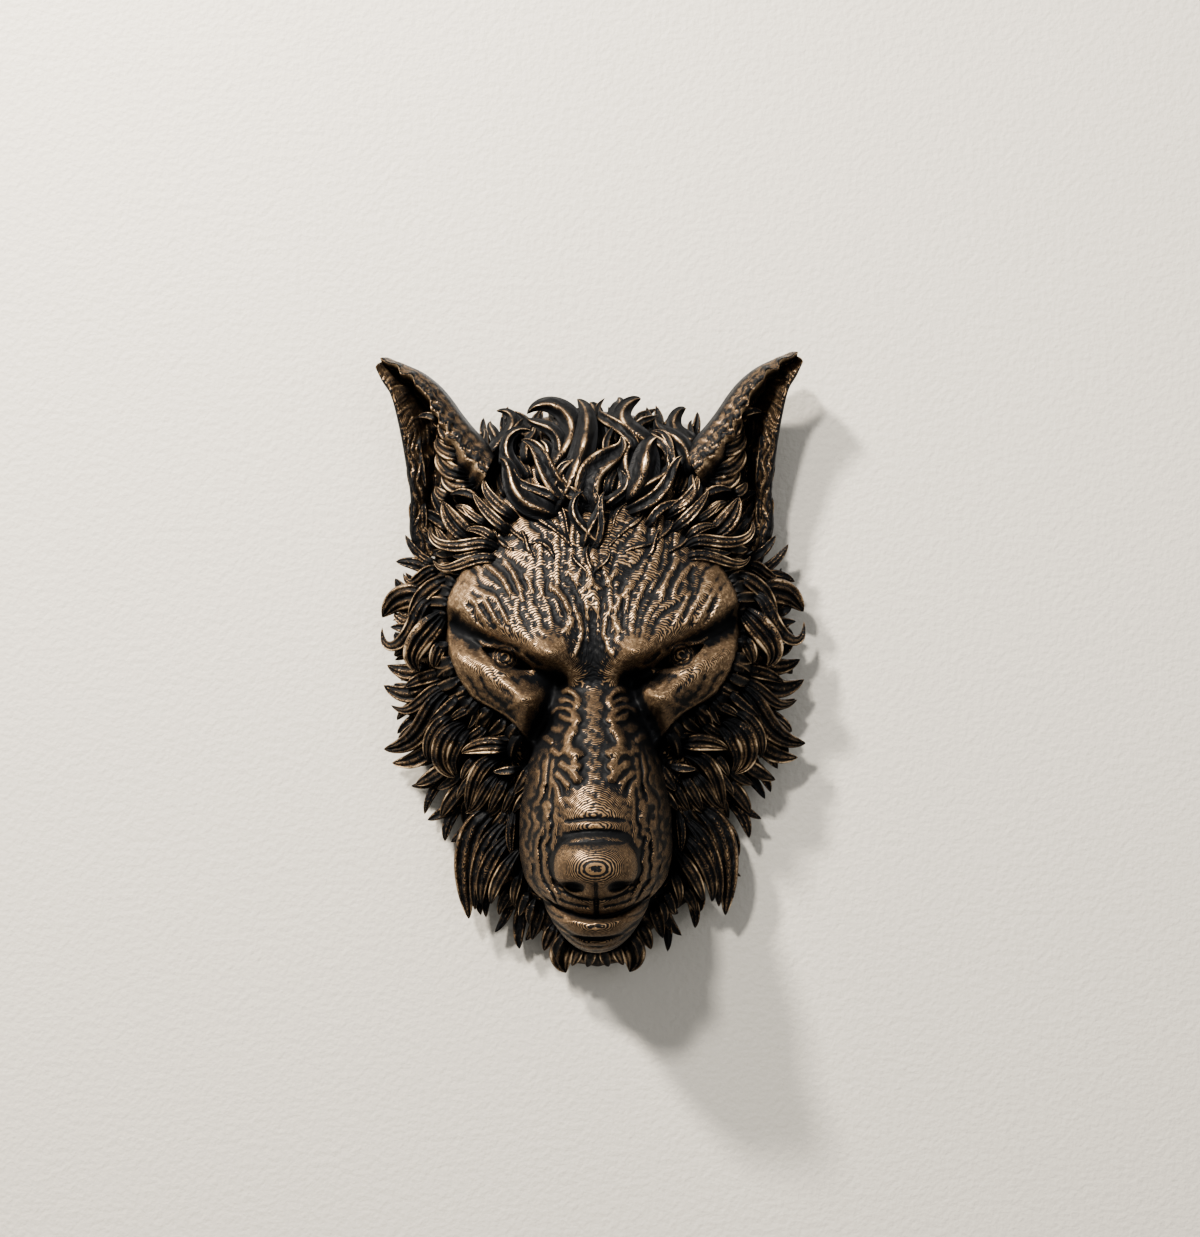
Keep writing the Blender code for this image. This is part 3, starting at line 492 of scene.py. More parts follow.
# Locks of hair, picked on the photograph: a path of (pixels across, pixels down, mm of depth at the
# crest) from root to tip, the width in pixels, the number of strands, and the tilt where there is one.
# The side and temple locks were picked on the left and are used on both sides.
lock = {
    "sink": 6.0,
    "sinkShare": 0.25,
    "widest": 0.35,
    "rootWidth": 0.35,
    "thick": 5.5,
    "hollow": 0.26,
    "strandHigh": 0.17,
    "reach": 95.7,
}

sideLocks = [
    ([(444, 575, 32), (424, 574, 27), (411, 583, 21), (403, 573, 17)], 13, 2, 0.2),
    ([(430, 590, 30), (414, 596, 24), (401, 591, 18)], 12, 2),
    ([(428, 600, 31), (404, 597, 26), (382.4, 617.5, 17)], 27, 3, 0.2),
    ([(446, 596, 42), (417, 613, 37), (401, 641, 30), (386.9, 645.3, 22), (382.3, 627.3, 18)], 15, 2),
    ([(425, 630, 26), (405, 628, 21), (390, 627, 17)], 12, 1),
    ([(432, 664, 28), (408, 672, 22), (387, 665, 16)], 18, 2),
    ([(432, 680, 28), (408, 694, 22), (383.6, 685.3, 16)], 20, 2),
    ([(458, 688, 38), (432, 692, 33), (412, 708, 25), (391, 705, 16)], 14, 2),
    ([(454, 690, 42), (432, 710, 38), (418, 733, 32), (401, 746, 25), (383.8, 749.2, 17)], 24, 3, 0.3),
    ([(436, 742, 28), (414, 760, 22), (392, 763, 15)], 18, 2),
    ([(448, 764, 32), (434, 775, 26), (415, 785, 16)], 15, 2),
    ([(464, 768, 32), (452, 780, 28), (437, 789, 20)], 12, 2),
    ([(466, 782, 30), (449, 802, 24), (441, 818, 16)], 15, 2),
    ([(452, 578, 44), (430, 588, 39), (415, 606, 33), (410, 626, 28)], 17, 2),
    ([(443, 612, 46), (424, 634, 44), (412, 655, 40), (420, 672, 34)], 27, 4),
    ([(444, 640, 44), (436, 655, 43), (434, 668, 38)], 16, 3),
    ([(450, 652, 45), (448, 666, 43), (443, 677, 39)], 6, 1),
    ([(454, 662, 46), (453, 675, 43), (450, 685, 38)], 8, 1),
    ([(447, 674, 34), (424, 678, 29), (404, 688, 23)], 15, 2),
    ([(462, 692, 45), (448, 706, 43), (430, 720, 36)], 10, 1),
    ([(448, 698, 38), (430, 718, 34), (412, 728, 27), (398, 738, 21)], 12, 2),
    ([(458, 713, 43), (438, 724, 41), (427, 744, 35), (430, 763, 27)], 12, 2),
    ([(464, 724, 43), (444, 740, 43), (440, 760, 38), (455, 777, 30)], 21, 3),
    ([(470, 730, 41), (458, 744, 40), (452, 760, 36), (458, 775, 30)], 12, 2),
    ([(474, 707, 45), (460, 713, 42), (449, 721, 37)], 10, 2),
    ([(468, 698, 47), (472, 708, 44), (470, 717, 39)], 6, 1),
    ([(476, 702, 47), (475, 716, 43), (467, 729, 37)], 7, 1),
    ([(484, 707, 46), (488, 718, 43), (483, 730, 37)], 6, 1),
    ([(494, 714, 46), (496, 725, 43), (491, 736, 37)], 6, 1),
    ([(488, 724, 42), (475, 735, 38), (463, 741, 33)], 12, 2),
    ([(512, 748, 46), (486, 746, 45), (461, 753, 38)], 18, 3),
    ([(516, 738, 46), (504, 738, 44), (492, 740, 40)], 7, 1),
    ([(510, 757, 43), (484, 765, 41), (472, 787, 35), (467, 811, 23)], 17, 3),
    ([(520, 769, 44), (506, 771, 43), (493, 772, 40)], 9, 1),
    ([(500, 773, 42), (486, 790, 38), (477, 805, 30), (465, 813, 21)], 14, 3),
    ([(508, 776, 42), (498, 793, 38), (489, 813, 29)], 12, 2),
    ([(516, 786, 42), (509, 800, 37), (502, 814, 29)], 10, 2),
    ([(474, 774, 37), (465, 786, 33), (457, 799, 25)], 10, 2),
    ([(532, 764, 48), (524, 780, 46), (514, 793, 40)], 13, 2),
    ([(530, 788, 46), (521, 801, 42), (513, 813, 35)], 9, 1),
    ([(478, 756, 38), (468, 766, 36), (462, 780, 30)], 10, 2),
    ([(504, 808, 33), (474, 828, 29), (464, 868, 25), (469, 919, 16)], 24, 2),
    ([(508, 822, 35), (486, 846, 32), (476, 878, 28), (475, 910, 19)], 17, 2),
    ([(513, 836, 38), (492, 858, 35), (482, 882, 30), (482, 905, 20)], 16, 2),
    ([(518, 852, 41), (504, 870, 38), (494, 890, 31), (491, 904, 22)], 14, 2),
    ([(514, 812, 40), (510, 835, 38), (512, 856, 34)], 10, 2),
    ([(522, 870, 36), (515, 888, 31), (514, 906, 23)], 11, 2),
    ([(514, 885, 27), (504, 900, 22), (499, 915, 15)], 12, 2),
    ([(524, 888, 27), (519, 902, 22), (517, 911, 15)], 10, 1),
    ([(529, 890, 30), (523, 905, 27), (519, 916, 22)], 9, 1),
    ([(542, 905, 27), (536, 924, 21), (532, 940, 15)], 14, 2),
    ([(535, 900, 31), (529, 914, 27), (529, 924, 22)], 8, 1),
    ([(556, 925, 27), (549, 938, 21), (544, 951, 15)], 15, 2),
    ([(572, 940, 34), (562, 955, 28), (566.1, 972.8, 19)], 27, 3),
    ([(566, 935, 38), (557, 945, 34), (556, 958, 28)], 9, 1),
    ([(580, 946, 36), (576, 957, 31), (572, 966, 25)], 12, 2),
    ([(592, 948, 30), (590, 958, 25), (587, 967, 17)], 12, 1),
]
templeLocks = [
    ([(474, 540, 48), (455, 524, 46), (443, 501, 40)], 22, 3),
    ([(505, 559, 52), (478, 543, 52), (452, 546, 48), (435, 541, 43), (431, 525, 36)], 13, 2),
    ([(508, 570, 52), (482, 558, 51), (458, 565, 47), (443, 568, 42), (433, 560, 37)], 12, 2),
    ([(515, 535, 51), (488, 513, 50), (473, 493, 44)], 12, 2),
    ([(482, 502, 44), (464, 492, 42), (450, 495, 37)], 9, 1),
    ([(498, 545, 51), (482, 531, 50), (465, 530, 46)], 11, 2),
    ([(520, 520, 51), (500, 506, 50), (488, 493, 47), (484, 478, 42)], 13, 2),
    ([(478, 520, 46), (466, 510, 44), (455, 506, 39)], 11, 2),
    ([(490, 525, 49), (472, 515, 46), (462, 505, 42)], 9, 2),
    ([(460, 548, 44), (446, 553, 40), (436, 553, 34)], 12, 1),
    ([(488, 550, 51), (468, 556, 49), (452, 556, 44)], 9, 1),
]
crownLocks = [
    ([(594, 500, 52), (590, 474, 51), (603, 453, 47), (621, 436, 40)], 34, 4),
    ([(556, 488, 51), (571, 460, 48), (598, 435, 43), (591, 412, 33), (577, 399, 24)], 19, 2, 0.3),
    ([(562, 482, 50), (568, 462, 47), (588, 445, 42)], 10, 1),
    ([(576, 500, 52), (563, 482, 50), (572, 461, 46)], 17, 3),
    ([(556, 468, 46), (570, 442, 41), (562, 418, 34), (527, 414, 24)], 20, 2, 0.3),
    ([(556, 456, 43), (556, 434, 39), (545, 421, 34), (527, 417, 27)], 11, 1),
    ([(562, 482, 52), (541, 463, 50), (521, 440, 43)], 24, 4),
    ([(516, 474, 43), (508, 450, 39), (516, 436, 35), (532, 431, 31)], 11, 1),
    ([(543, 503, 52), (516, 493, 51), (504, 476, 48), (499, 458, 42)], 17, 2, 0.2),
    ([(547, 498, 51), (531, 485, 49), (514, 468, 46)], 13, 2),
    ([(498, 450, 35), (508, 431, 31), (507, 417, 25), (496, 411, 19)], 11, 2),
    ([(502, 456, 38), (508, 441, 34), (518, 430, 29), (523, 418, 22)], 12, 2),
    ([(489, 446, 31), (485, 437, 26), (483, 429, 19)], 8, 1),
    ([(494, 442, 31), (494, 431, 26), (491, 421, 18)], 8, 1),
    ([(596, 446, 40), (588, 424, 33), (590, 402, 22)], 24, 2),
    ([(628, 444, 41), (618, 426, 36), (606, 413, 29), (605, 398, 20)], 16, 2, 0.2),
    ([(620, 436, 34), (614, 412, 28), (618, 397, 18)], 14, 1),
    ([(642, 442, 41), (626, 424, 37), (629, 409, 30), (641, 399, 21)], 15, 2),
    ([(638, 430, 33), (643, 420, 28), (658, 414, 19)], 10, 1),
    ([(684, 460, 41), (680, 441, 37), (669, 428, 31), (656, 418, 24)], 13, 1),
    ([(691, 438, 31), (676, 430, 27), (673, 415, 22), (686, 409, 17)], 13, 2),
    ([(688, 447, 28), (693, 432, 23), (692, 420, 17)], 9, 1),
    ([(696, 447, 26), (701, 437, 21), (703, 428, 16)], 8, 1),
    ([(632, 485, 52), (648, 464, 50), (657, 437, 43)], 24, 4),
    ([(675, 460, 42), (667, 443, 38), (652, 431, 33)], 12, 1),
    ([(626, 482, 48), (628, 460, 44), (641, 442, 37)], 15, 2),
    ([(612, 503, 51), (623, 488, 49), (620, 470, 45)], 8, 1),
    ([(640, 498, 52), (666, 486, 50), (678, 473, 47), (683, 456, 41)], 17, 2, 0.2),
    ([(648, 488, 50), (660, 474, 47), (668, 460, 43)], 11, 2),
    ([(680, 504, 50), (697, 491, 47), (693, 474, 41)], 13, 2),
    ([(656, 520, 51), (665, 505, 50), (689, 498, 45)], 12, 2),
    ([(693, 513, 47), (706, 501, 44), (708, 487, 39)], 9, 1),
    ([(548, 472, 47), (545, 455, 43), (540, 440, 38)], 14, 2),
    ([(664, 452, 40), (659, 440, 36), (645, 428, 30)], 12, 2),
    ([(530, 455, 42), (528, 440, 38), (535, 428, 32)], 10, 1),
    ([(575, 452, 42), (573, 436, 37), (567, 425, 31)], 12, 2),
    ([(610, 452, 42), (606, 436, 38), (612, 425, 33)], 10, 1),
    ([(590, 541, 56), (579, 518, 56), (584, 491, 53)], 9, 1),
    ([(591, 540, 56), (594, 516, 56), (596, 492, 53)], 9, 1),
    ([(593, 538, 56), (604, 514, 56), (606, 490, 53)], 9, 1),
]

# Low tufts: pixels only, because they lie on the head. The width is measured at the wall.
foreheadTufts = [
    ([(583, 562), (572, 540), (548, 530), (531, 512)], 8, 1),
    ([(560, 540), (545, 522), (535, 512)], 7, 1),
    ([(578, 545), (567, 522), (551, 499)], 7, 1),
    ([(574, 520), (562, 508), (552, 498)], 6, 1),
    ([(560, 566), (548, 548), (530, 545)], 9, 1),
    ([(598, 560), (610, 540), (632, 530), (647, 513)], 8, 1),
    ([(618, 541), (634, 523), (643, 511)], 7, 1),
    ([(600, 545), (614, 522), (632, 502)], 6, 1),
    ([(620, 566), (634, 548), (655, 541)], 9, 1),
    ([(530, 552), (515, 532), (508, 515)], 8, 1),
    ([(545, 560), (526, 545), (520, 530)], 8, 1),
    ([(536, 515), (526, 500), (522, 488)], 7, 1),
    ([(650, 552), (665, 533), (672, 515)], 8, 1),
    ([(638, 560), (655, 545), (660, 530)], 8, 1),
    ([(645, 515), (655, 502), (658, 490)], 7, 1),
    ([(520, 560), (505, 545), (497, 530)], 8, 1),
    ([(662, 560), (680, 545), (688, 528)], 8, 1),
    ([(590, 585), (582, 566), (572, 552)], 7, 1),
    ([(591, 585), (600, 566), (610, 552)], 7, 1),
    ([(590, 588.1), (590, 565), (590, 543)], 9, 2),
]


def seenAt(u, v, depth):
    # (x, z) and mm for each pixel, where the ray through a pixel reaches a depth; to a tenth of a mm
    scale = (view["away"] - depth) / view["pixels"]
    right, up = (u - view["middle"][0]) * scale, (view["middle"][1] - v) * scale
    x = view["right"] + right * view["cosine"] + up * view["sine"]
    z = view["up"] - right * view["sine"] + up * view["cosine"]
    return np.round(x, 1), np.round(z, 1), scale


def inMillimetres(rows, oneSide=False):  # picked locks carried out to their depths
    made = []
    for path, width, *rest in rows:
        u, v, depth = np.array(path, float).T
        x, z, scale = seenAt(u, v, depth)
        place = np.column_stack([np.abs(x) if oneSide else x, z, depth])
        made.append((place, round(width * scale[1], 1), *rest))
    return made


def hairLock(path, width, strands, tilt=0.0, gold=1.0, blunt=0.0, fineness=1.0):
    # a leaf-shaped section carried along a bent line: full at a third of its length, then in to a point.
    # The section is 1 - v^4 to the 0.55, less a hollow, less a cosine groove between strands, or a bell
    # where there are no strands; a keel closes it below.
    length = np.linalg.norm(np.diff(np.array(path), axis=0), axis=1).sum()
    rings = int(np.clip(fineness * length * 1.1, 14, 56))
    top, under = 2 * int(fineness * np.clip(width * 1.3 + 3, 7, 20)) + 1, 6
    s = np.linspace(0, 1, rings)
    line = through(path, s)
    run = np.gradient(line[:, :2], axis=0)
    run /= np.hypot(run[:, 0], run[:, 1])[:, None]
    crest = line[:, 2] - min(lock["sink"], 1.3 * width) * (1 - smoothStep(s / lock["sinkShare"]))
    rise = np.clip(s / lock["widest"], 0, 1) * math.pi / 2
    swell = lock["rootWidth"] + (1 - lock["rootWidth"]) * np.sin(rise)
    past = np.clip((s - lock["widest"]) / (1 - lock["widest"]), 0, 1)
    full = np.maximum(swell * (1 - past ** (2.1 + 2 * blunt)) ** (0.75 - 0.25 * blunt), 0.01)
    half = 0.5 * width * full
    thick = np.minimum(0.5 * width * full**0.8, lock["thick"])
    keel = np.minimum(np.interp(s, [0, 0.25, 1], [22, 14, 2]), crest - 1.0)
    v = np.linspace(-1, 1, top)
    u = np.linspace(1, -1, under + 2)[1:-1]
    wave = 0.5 - 0.5 * np.cos(math.pi * strands * (v + 1))
    rimFade = np.clip((0.92 - np.abs(v)) / 0.3, 0, 1)
    hollow = lock["hollow"] * smoothStep((width - 3.5) / 3) * (1 - blunt)
    if strands:
        section = (1 - v**4) ** 0.55 - hollow * np.maximum(0, 1 - (v / 0.75) ** 2)
        section = section - 2 * lock["strandHigh"] * wave * rimFade
    else:  # a single crest with flared feet
        section = np.exp(-((v / 0.48) ** 2))
        thick = np.minimum(0.36 * width * full**0.8, lock["thick"])
    over = crest[:, None] + thick[:, None] * (section - 1) + tilt * v * half[:, None]
    below = (crest - thick)[:, None] - (keel * np.clip(1.5 * full, 0, 1))[:, None] * (1 - u**2)
    below = np.maximum(below, 0.4)
    across = np.concatenate([v, u]) * half[:, None]
    x = np.clip(line[:, :1] - run[:, 1:] * across, -lock["reach"], lock["reach"])
    z = line[:, 1:2] + run[:, :1] * across
    rough = 0.30 * waves(x, z, 6.0, 31) + 0.22 * waves(x, z, 2.6, 32)
    over = over + rough[:, :top] * np.clip(half[:, None] / 2.0, 0, 1) * rimFade
    points = np.stack([x, -np.concatenate([over, below], axis=1), z], -1)
    rim = 1.3 * (1 - 0.5 * blunt) * np.exp(-(((np.abs(v) - 0.80) / 0.21) ** 2))
    proud = np.maximum(rim, (0.8 + 0.5 * blunt) * (1 - wave) ** (1 + blunt) * rimFade)
    if not strands:
        proud = 1.1 * np.exp(-(((v - 0.04) / 0.22) ** 2))
    # Copper fades in from the root; the factor by crest depth is painted shade, darkening locks that lie near
    # the wall.
    out = gold * smoothStep((s - 0.05) / 0.4) * np.interp(crest, [14, 42], [0.72, 1.0])
    proud = proud * (0.85 + 0.35 * waves(x, z, 9.0, 33)[:, :top])
    high = np.concatenate([0.96 * out[:, None] * proud, np.zeros((rings, under))], 1)
    return points[:, ::-1], high[:, ::-1]


flameLook = {
    "back": 0.42,
    "bend": 0.11,
    "width": 0.80,
    "plain": 1.75,  # how much wider one without strands is
    "sway": np.array([0, -1, 0, 1, 0]),
    "blunt": 0.15,
}


def flame(path, width, side, strands):
    # a drawn lock with its root carried back to the surface below, and an S laid over its line
    at = through(path, np.array([0, 0.33, 0.67, 1.0]))
    run = at[-1, :2] - at[0, :2]
    start = at[0, :2] - flameLook["back"] * run * np.array([1.2, 1.0])
    root = [*start, headDepth(start[:1], start[1:])[0] + 0.5]
    line = np.vstack([root, at])
    line[:, :2] += side * flameLook["bend"] * flameLook["sway"][:, None] * np.array([run[1], -run[0]])
    wide = flameLook["width"] * width * (1 if strands else flameLook["plain"])
    return hairLock(line, wide, strands, 0.0, golds.uniform(0.8, 1.05), flameLook["blunt"])


def mirrored(tube):  # a tube for the other side, its rings turned round to face outwards
    points, high = tube
    return (points * np.array([-1.0, 1.0, 1.0]))[:, ::-1], high[:, ::-1]


fur = {
    "middle": (0.0, 6.0),  # hairs run away from here
    "shares": (0.60, 0.72, 0.84, 0.94),  # where each row starts, of the way out to the outline
    "step": 7.5,  # mm between neighbours in a row
    "length": (15.0, 23.0),
    "width": (4.4, 6.4),
    "swing": 0.24,
    "stations": np.array([0, 0.35, 0.7, 1.0]),  # shares of the length that have a curl and a lift
    "curl": np.array([0, 0.45, 0.1, -0.6]),
    "lift": np.array([1.5, 4.0, 3.5, 0.5]),  # mm over the base
    "lowest": 11.0,
    "shortest": 7.0,
    "limits": ([90, 116], [-90, -132]),
    "fineness": 0.65,
}


def outlineReach(fromZ, turns):  # how far the base's outline is from (0, fromZ), in each direction
    step = 0.25
    reach = np.arange(0, 230, step)[:, None]
    x, z = reach * np.sin(turns), fromZ + reach * np.cos(turns)
    inside = (np.abs(x) < along(maneBase["halfWidth"], z)) & (z > maneBase["low"]) & (z < maneBase["high"])
    return inside.sum(0) * step


def underFur():  # rows of short locks round the head, below and between the drawn ones, each bent like an S
    r = np.random.default_rng(29)
    made = []
    turns = np.linspace(-math.pi, math.pi, 2000)
    outline = outlineReach(fur["middle"][1], turns)
    for row, share in enumerate(fur["shares"]):
        radius = share * outline
        rim = radius * np.array([np.sin(turns), np.cos(turns)])
        run = np.concatenate([[0], np.cumsum(np.hypot(*np.diff(rim, axis=1)))])
        count = int(run[-1] / fur["step"])
        for at in np.interp((np.arange(count) + 0.5 * (row % 2)) * run[-1] / count, run, turns):
            at = at + r.uniform(-0.02, 0.02)
            start = np.interp(at, turns, radius) * np.array([math.sin(at), math.cos(at)]) + fur["middle"]
            length, width = r.uniform(*fur["length"]), r.uniform(*fur["width"])
            bend = fur["swing"] * length * r.choice([-1, 1]) * r.uniform(0.5, 1.2)
            onFace = abs(start[0]) + 2 < np.interp(start[1], *zip(*face["border"])) and -60 < start[1] < 66
            onMuzzle = abs(start[0]) < 27 and start[1] < 30
            if onFace or onMuzzle:
                continue
            away = np.array([math.sin(at), math.cos(at)])
            limits = np.where(away > 0, *fur["limits"])
            length = min([length] + [(limits[k] - start[k]) / away[k] for k in (0, 1) if abs(away[k]) > 0.2])
            if length < fur["shortest"]:
                continue
            line = start + away * (fur["stations"] * length)[:, None]
            line = line + np.array([away[1], -away[0]]) * (bend * fur["curl"])[:, None]
            keep = np.clip(np.abs(line[:, 0]) / along(maneBase["halfWidth"], line[:, 1]), 0, 0.97)
            top = domeDepth(keep * along(maneBase["halfWidth"], line[:, 1]), line[:, 1])
            crest = np.maximum(top + fur["lift"], fur["lowest"])
            made.append(hairLock(np.column_stack([line, crest]), width, r.choice([1, 2, 2]),
                                 gold=r.uniform(0.6, 0.9), fineness=fur["fineness"]))
    return made


ruff = {
    "low": -30.0,
    "high": 62.0,
    "step": 4.6,
    "middleZ": 22.0,
    "inside": 4.0,
    "length": (12.0, 18.0),
    "width": (4.6, 6.6),
    "curl": np.array([0, 0.8, 0.3, -0.9]),
    "lift": np.array([2.5, 4.0, 4.0, 2.5]),  # mm over the face
    "fineness": 0.6,
}


def ruffLocks():  # short locks on the right over the face's border, which lead it into the mane
    r = np.random.default_rng(37)
    z = np.linspace(ruff["low"], ruff["high"], 400)
    border = along(face["border"], z)
    run = np.concatenate([[0], np.cumsum(np.hypot(np.diff(z), np.diff(border)))])
    made = []
    for at in np.arange(2.0, run[-1], ruff["step"]):
        startZ = np.interp(at, run, z)
        start = np.array([np.interp(at, run, border) - ruff["inside"] * r.uniform(0.6, 1.6), startZ])
        away = start - np.array([0, ruff["middleZ"]])
        away = away / np.hypot(*away)
        length, bend = r.uniform(*ruff["length"]), r.choice([-1, 1]) * r.uniform(0.8, 2.2)
        line = start + away * (fur["stations"] * length)[:, None]
        line = line + np.array([away[1], -away[0]]) * (bend * ruff["curl"])[:, None]
        ends = headDepth(line[[0, -1], 0], line[[0, -1], 1])
        crest = np.interp(fur["stations"], [0, 1], ends) + ruff["lift"]
        made.append(hairLock(np.column_stack([line, crest]), r.uniform(*ruff["width"]), r.choice([0, 1]),
                             gold=r.uniform(0.75, 1.0), fineness=ruff["fineness"]))
    return made


ear = {
    "outer": [(77.0, 43.8), (82.4, 61.9), (81.5, 74.0), (83.4, 92.2), (87.1, 114.0), (89.2, 121.7),
              (92.5, 127.1),
              (95.0, 132.5)],
    "fringe": [(45.7, 83.0), (50.0, 87.5), (55.1, 92.0), (58.7, 97.5), (63.1, 102.3), (65.2, 106.8),
               (68.8, 113.4),
               (72.3, 119.3), (77.4, 126.0), (83.2, 130.4), (91.2, 135.1)],
    "inner": [(42.0, 92.6), (46.4, 99.5), (51.7, 105.5), (56.6, 111.8), (61.0, 118.2), (66.4, 124.6),
              (74.8, 131.2),
              (88.6, 137.3)],
    "rim": (18.0, 32.0),  # depths at the root and at the tip
    "deep": (12.0, 27.0),
    "crest": (46.0, 37.0),
    "jag": 1.0,
}
# Tufts inside the ear, then strands down its outer side: (x, z, depth) in mm, width, strands, tilt.
earTufts = [
    ([(60.6, 98.0, 40), (63.5, 102.0, 39), (65.2, 105.8, 36), (66.0, 109.5, 31)], 6.0, 2, 0.3),
    ([(55.0, 92.3, 41), (62.1, 94.6, 39), (66.0, 97.0, 35), (68.0, 101.7, 28)], 8.0, 3, 0.3),
    ([(53.4, 84.2, 42), (60.0, 85.1, 40), (65.3, 88.9, 35), (68.0, 95.0, 26)], 8.0, 3, 0.3),
    ([(50.5, 80.6, 42), (57.4, 78.6, 40), (62.5, 80.7, 36), (65.0, 86.3, 28)], 7.0, 2, 0.3),
    ([(62.0, 74.0, 36), (66.5, 76.0, 33), (69.0, 80.0, 27)], 5.0, 2, 0.2),
    ([(76.5, 106.0, 24), (77.3, 98.0, 23), (76.0, 89.0, 22), (74.5, 80.0, 20)], 3.6, 1, 0.0),
    ([(80.6, 100.0, 24), (80.0, 90.0, 22), (78.2, 80.0, 21), (77.6, 70.0, 19)], 4.2, 1, 0.0),
    ([(80.0, 76.0, 21), (80.0, 67.0, 20), (79.0, 58.0, 18)], 4.6, 2, 0.0),
    ([(76.0, 76.0, 21), (76.0, 66.0, 20), (75.5, 56.0, 18)], 4.6, 2, 0.0),
    ([(82.0, 92.0, 21), (81.3, 84.0, 20), (80.4, 77.0, 18)], 2.8, 1, 0.0),
    ([(67.0, 108.5, 32), (72.0, 111.5, 30), (77.0, 111.0, 27)], 3.6, 1, 0.0),
]


def edgePoints(corners, s):  # points by share of length along a smooth line through the corners
    c = np.array(corners, float)
    steps = np.hypot(*np.diff(c, axis=0).T)
    place = np.concatenate([[0], np.cumsum(steps)]) / steps.sum()
    return np.stack([along(np.stack([place, c[:, i]], -1), s) for i in (0, 1)], -1)


def earShell(rings=170, bowl=72, band=28, back=14):
    # three strips round a ring: outer edge to fringe (rim, bowl, wall), fringe to inner edge, and back below
    s = np.linspace(0, 1, rings)
    outer, fringe, inner = (edgePoints(ear[k], s) for k in ("outer", "fringe", "inner"))
    jag = ear["jag"] * waves(s * 70, 0 * s, 7.0, 41) * smoothStep(s / 0.1) * smoothStep((1 - s) / 0.12)
    fringe = fringe + jag[:, None] * np.array([0.75, -0.66])
    rim, deep, crest = (np.interp(s, [0, 1], ear[k]) for k in ("rim", "deep", "crest"))
    deep = np.minimum(deep, 12 + 15 * smoothStep((s - 0.5) / 0.5))
    low = 0.42 + 0.44 * smoothStep((s - 0.2) / 0.35)  # share of the bowl where it is deepest
    f, g, b = np.linspace(0, 1, bowl), np.linspace(0, 1, band + 1)[1:], np.linspace(1, 0, back + 2)[1:-1]
    rows = []
    for i in range(rings):
        r, d, c, p = rim[i], deep[i], crest[i], low[i]
        inBowl = along([(0, r - 5), (0.04, r - 0.8), (0.10, r),
                        (0.10 + 0.45 * (p - 0.1), r + 0.3 * (d - r)), (p, d),
                        (p + 0.45 * (1 - p), d + 0.35 * (c - d)), (1, c)], f)
        onBand = along([(0, c), (0.12, c + 0.2), (0.5, c - 2.5), (0.85, c - 6), (1, c - 12)], g)
        behind = along([(0, r - 7), (0.35, d - 5), (0.7, d - 4), (1, c - 17)], b)
        around = math.pi * np.concatenate([0.6 * f, 0.6 + 0.4 * g, b])
        blunt = 1.1 * np.sin(around) * smoothStep((s[i] - 0.86) / 0.14)
        place = np.concatenate([outer[i] + (fringe[i] - outer[i]) * f[:, None],
                                fringe[i] + (inner[i] - fringe[i]) * g[:, None],
                                outer[i] + (inner[i] - outer[i]) * b[:, None]]) + blunt[:, None]
        rows.append(np.stack([place[:, 0], -np.concatenate([inBowl, onBand, behind]), place[:, 1]], -1))
    points = np.array(rows)
    x, z = points[..., 0], points[..., 2]
    share = np.concatenate([f, 1 + g, np.full(back, 3.0)])[None, :] + 0 * x
    up = s[:, None] + 0 * x
    onFlange = smoothStep((low[:, None] - 0.05 - share) / 0.15) * smoothStep((share - 0.02) / 0.06)
    slanted = ridges(2 * math.pi * (0.25 * x + 0.33 * z + 0.5 * waves(x, z, 12, 21)))
    upright = ridges(2 * math.pi * (0.42 * x - 0.05 * z + 0.5 * waves(x, z, 14, 23)))
    high = smoothStep((up - 0.5) / 0.2)
    hairs = (0.55 * slanted * high + 0.9 * upright * (1 - high)) * (0.6 + 0.4 * waves(x, z, 8, 22))
    rough = smoothStep((share - 0.97) / 0.05) * smoothStep((1.6 - share) / 0.2)
    torn = 0.35 * waves(x, z, 3.4, 24) + 0.25 * waves(x, z, 1.9, 25)
    lift = onFlange * hairs + rough * torn + 0.2 * waves(x, z, 5, 26)
    points[..., 1] -= (lift * (share < 2.5) * smoothStep((0.985 - up) / 0.06)
                       * smoothStep((1.95 - share) / 0.15))
    base = 0.50 * onFlange + 0.90 * np.exp(-(((share - 1.0) / 0.08) ** 2)) + 0.32 * rough
    base = base + 0.52 * smoothStep((share - 1.52) / 0.15) * smoothStep((1.97 - share) / 0.1)
    raised = base + 0.05 + 0.8 * (standing(points, True, 3, 1.2) - 0.5) * (share < 2.5)
    return points[:, ::-1], raised[:, ::-1]


class Sock:  # a node's output in shader maths: + - * / add Math nodes, for numbers only
    def __init__(self, tree, out):
        self.tree, self.out = tree, out

    def maths(self, operation, a, b=None):
        given = {"i0": a} if b is None else {"i0": a, "i1": b}
        return addNode(self.tree, "ShaderNodeMath", {"operation": operation}, **given)

    def __add__(self, other):
        return self.maths("ADD", self, other)

    def __radd__(self, other):
        return self.maths("ADD", other, self)

    def __sub__(self, other):
        return self.maths("SUBTRACT", self, other)

    def __rsub__(self, other):
        return self.maths("SUBTRACT", other, self)

    def __mul__(self, other):
        return self.maths("MULTIPLY", self, other)

    def __rmul__(self, other):
        return self.maths("MULTIPLY", other, self)

    def __truediv__(self, other):
        return self.maths("DIVIDE", self, other)

    def step(self, low, high):  # 0 at low, 1 at high, smooth between
        smooth = {"interpolation_type": "SMOOTHSTEP"}
        return addNode(self.tree, "ShaderNodeMapRange", smooth, i0=self, i1=low, i2=high, i3=0.0, i4=1.0)


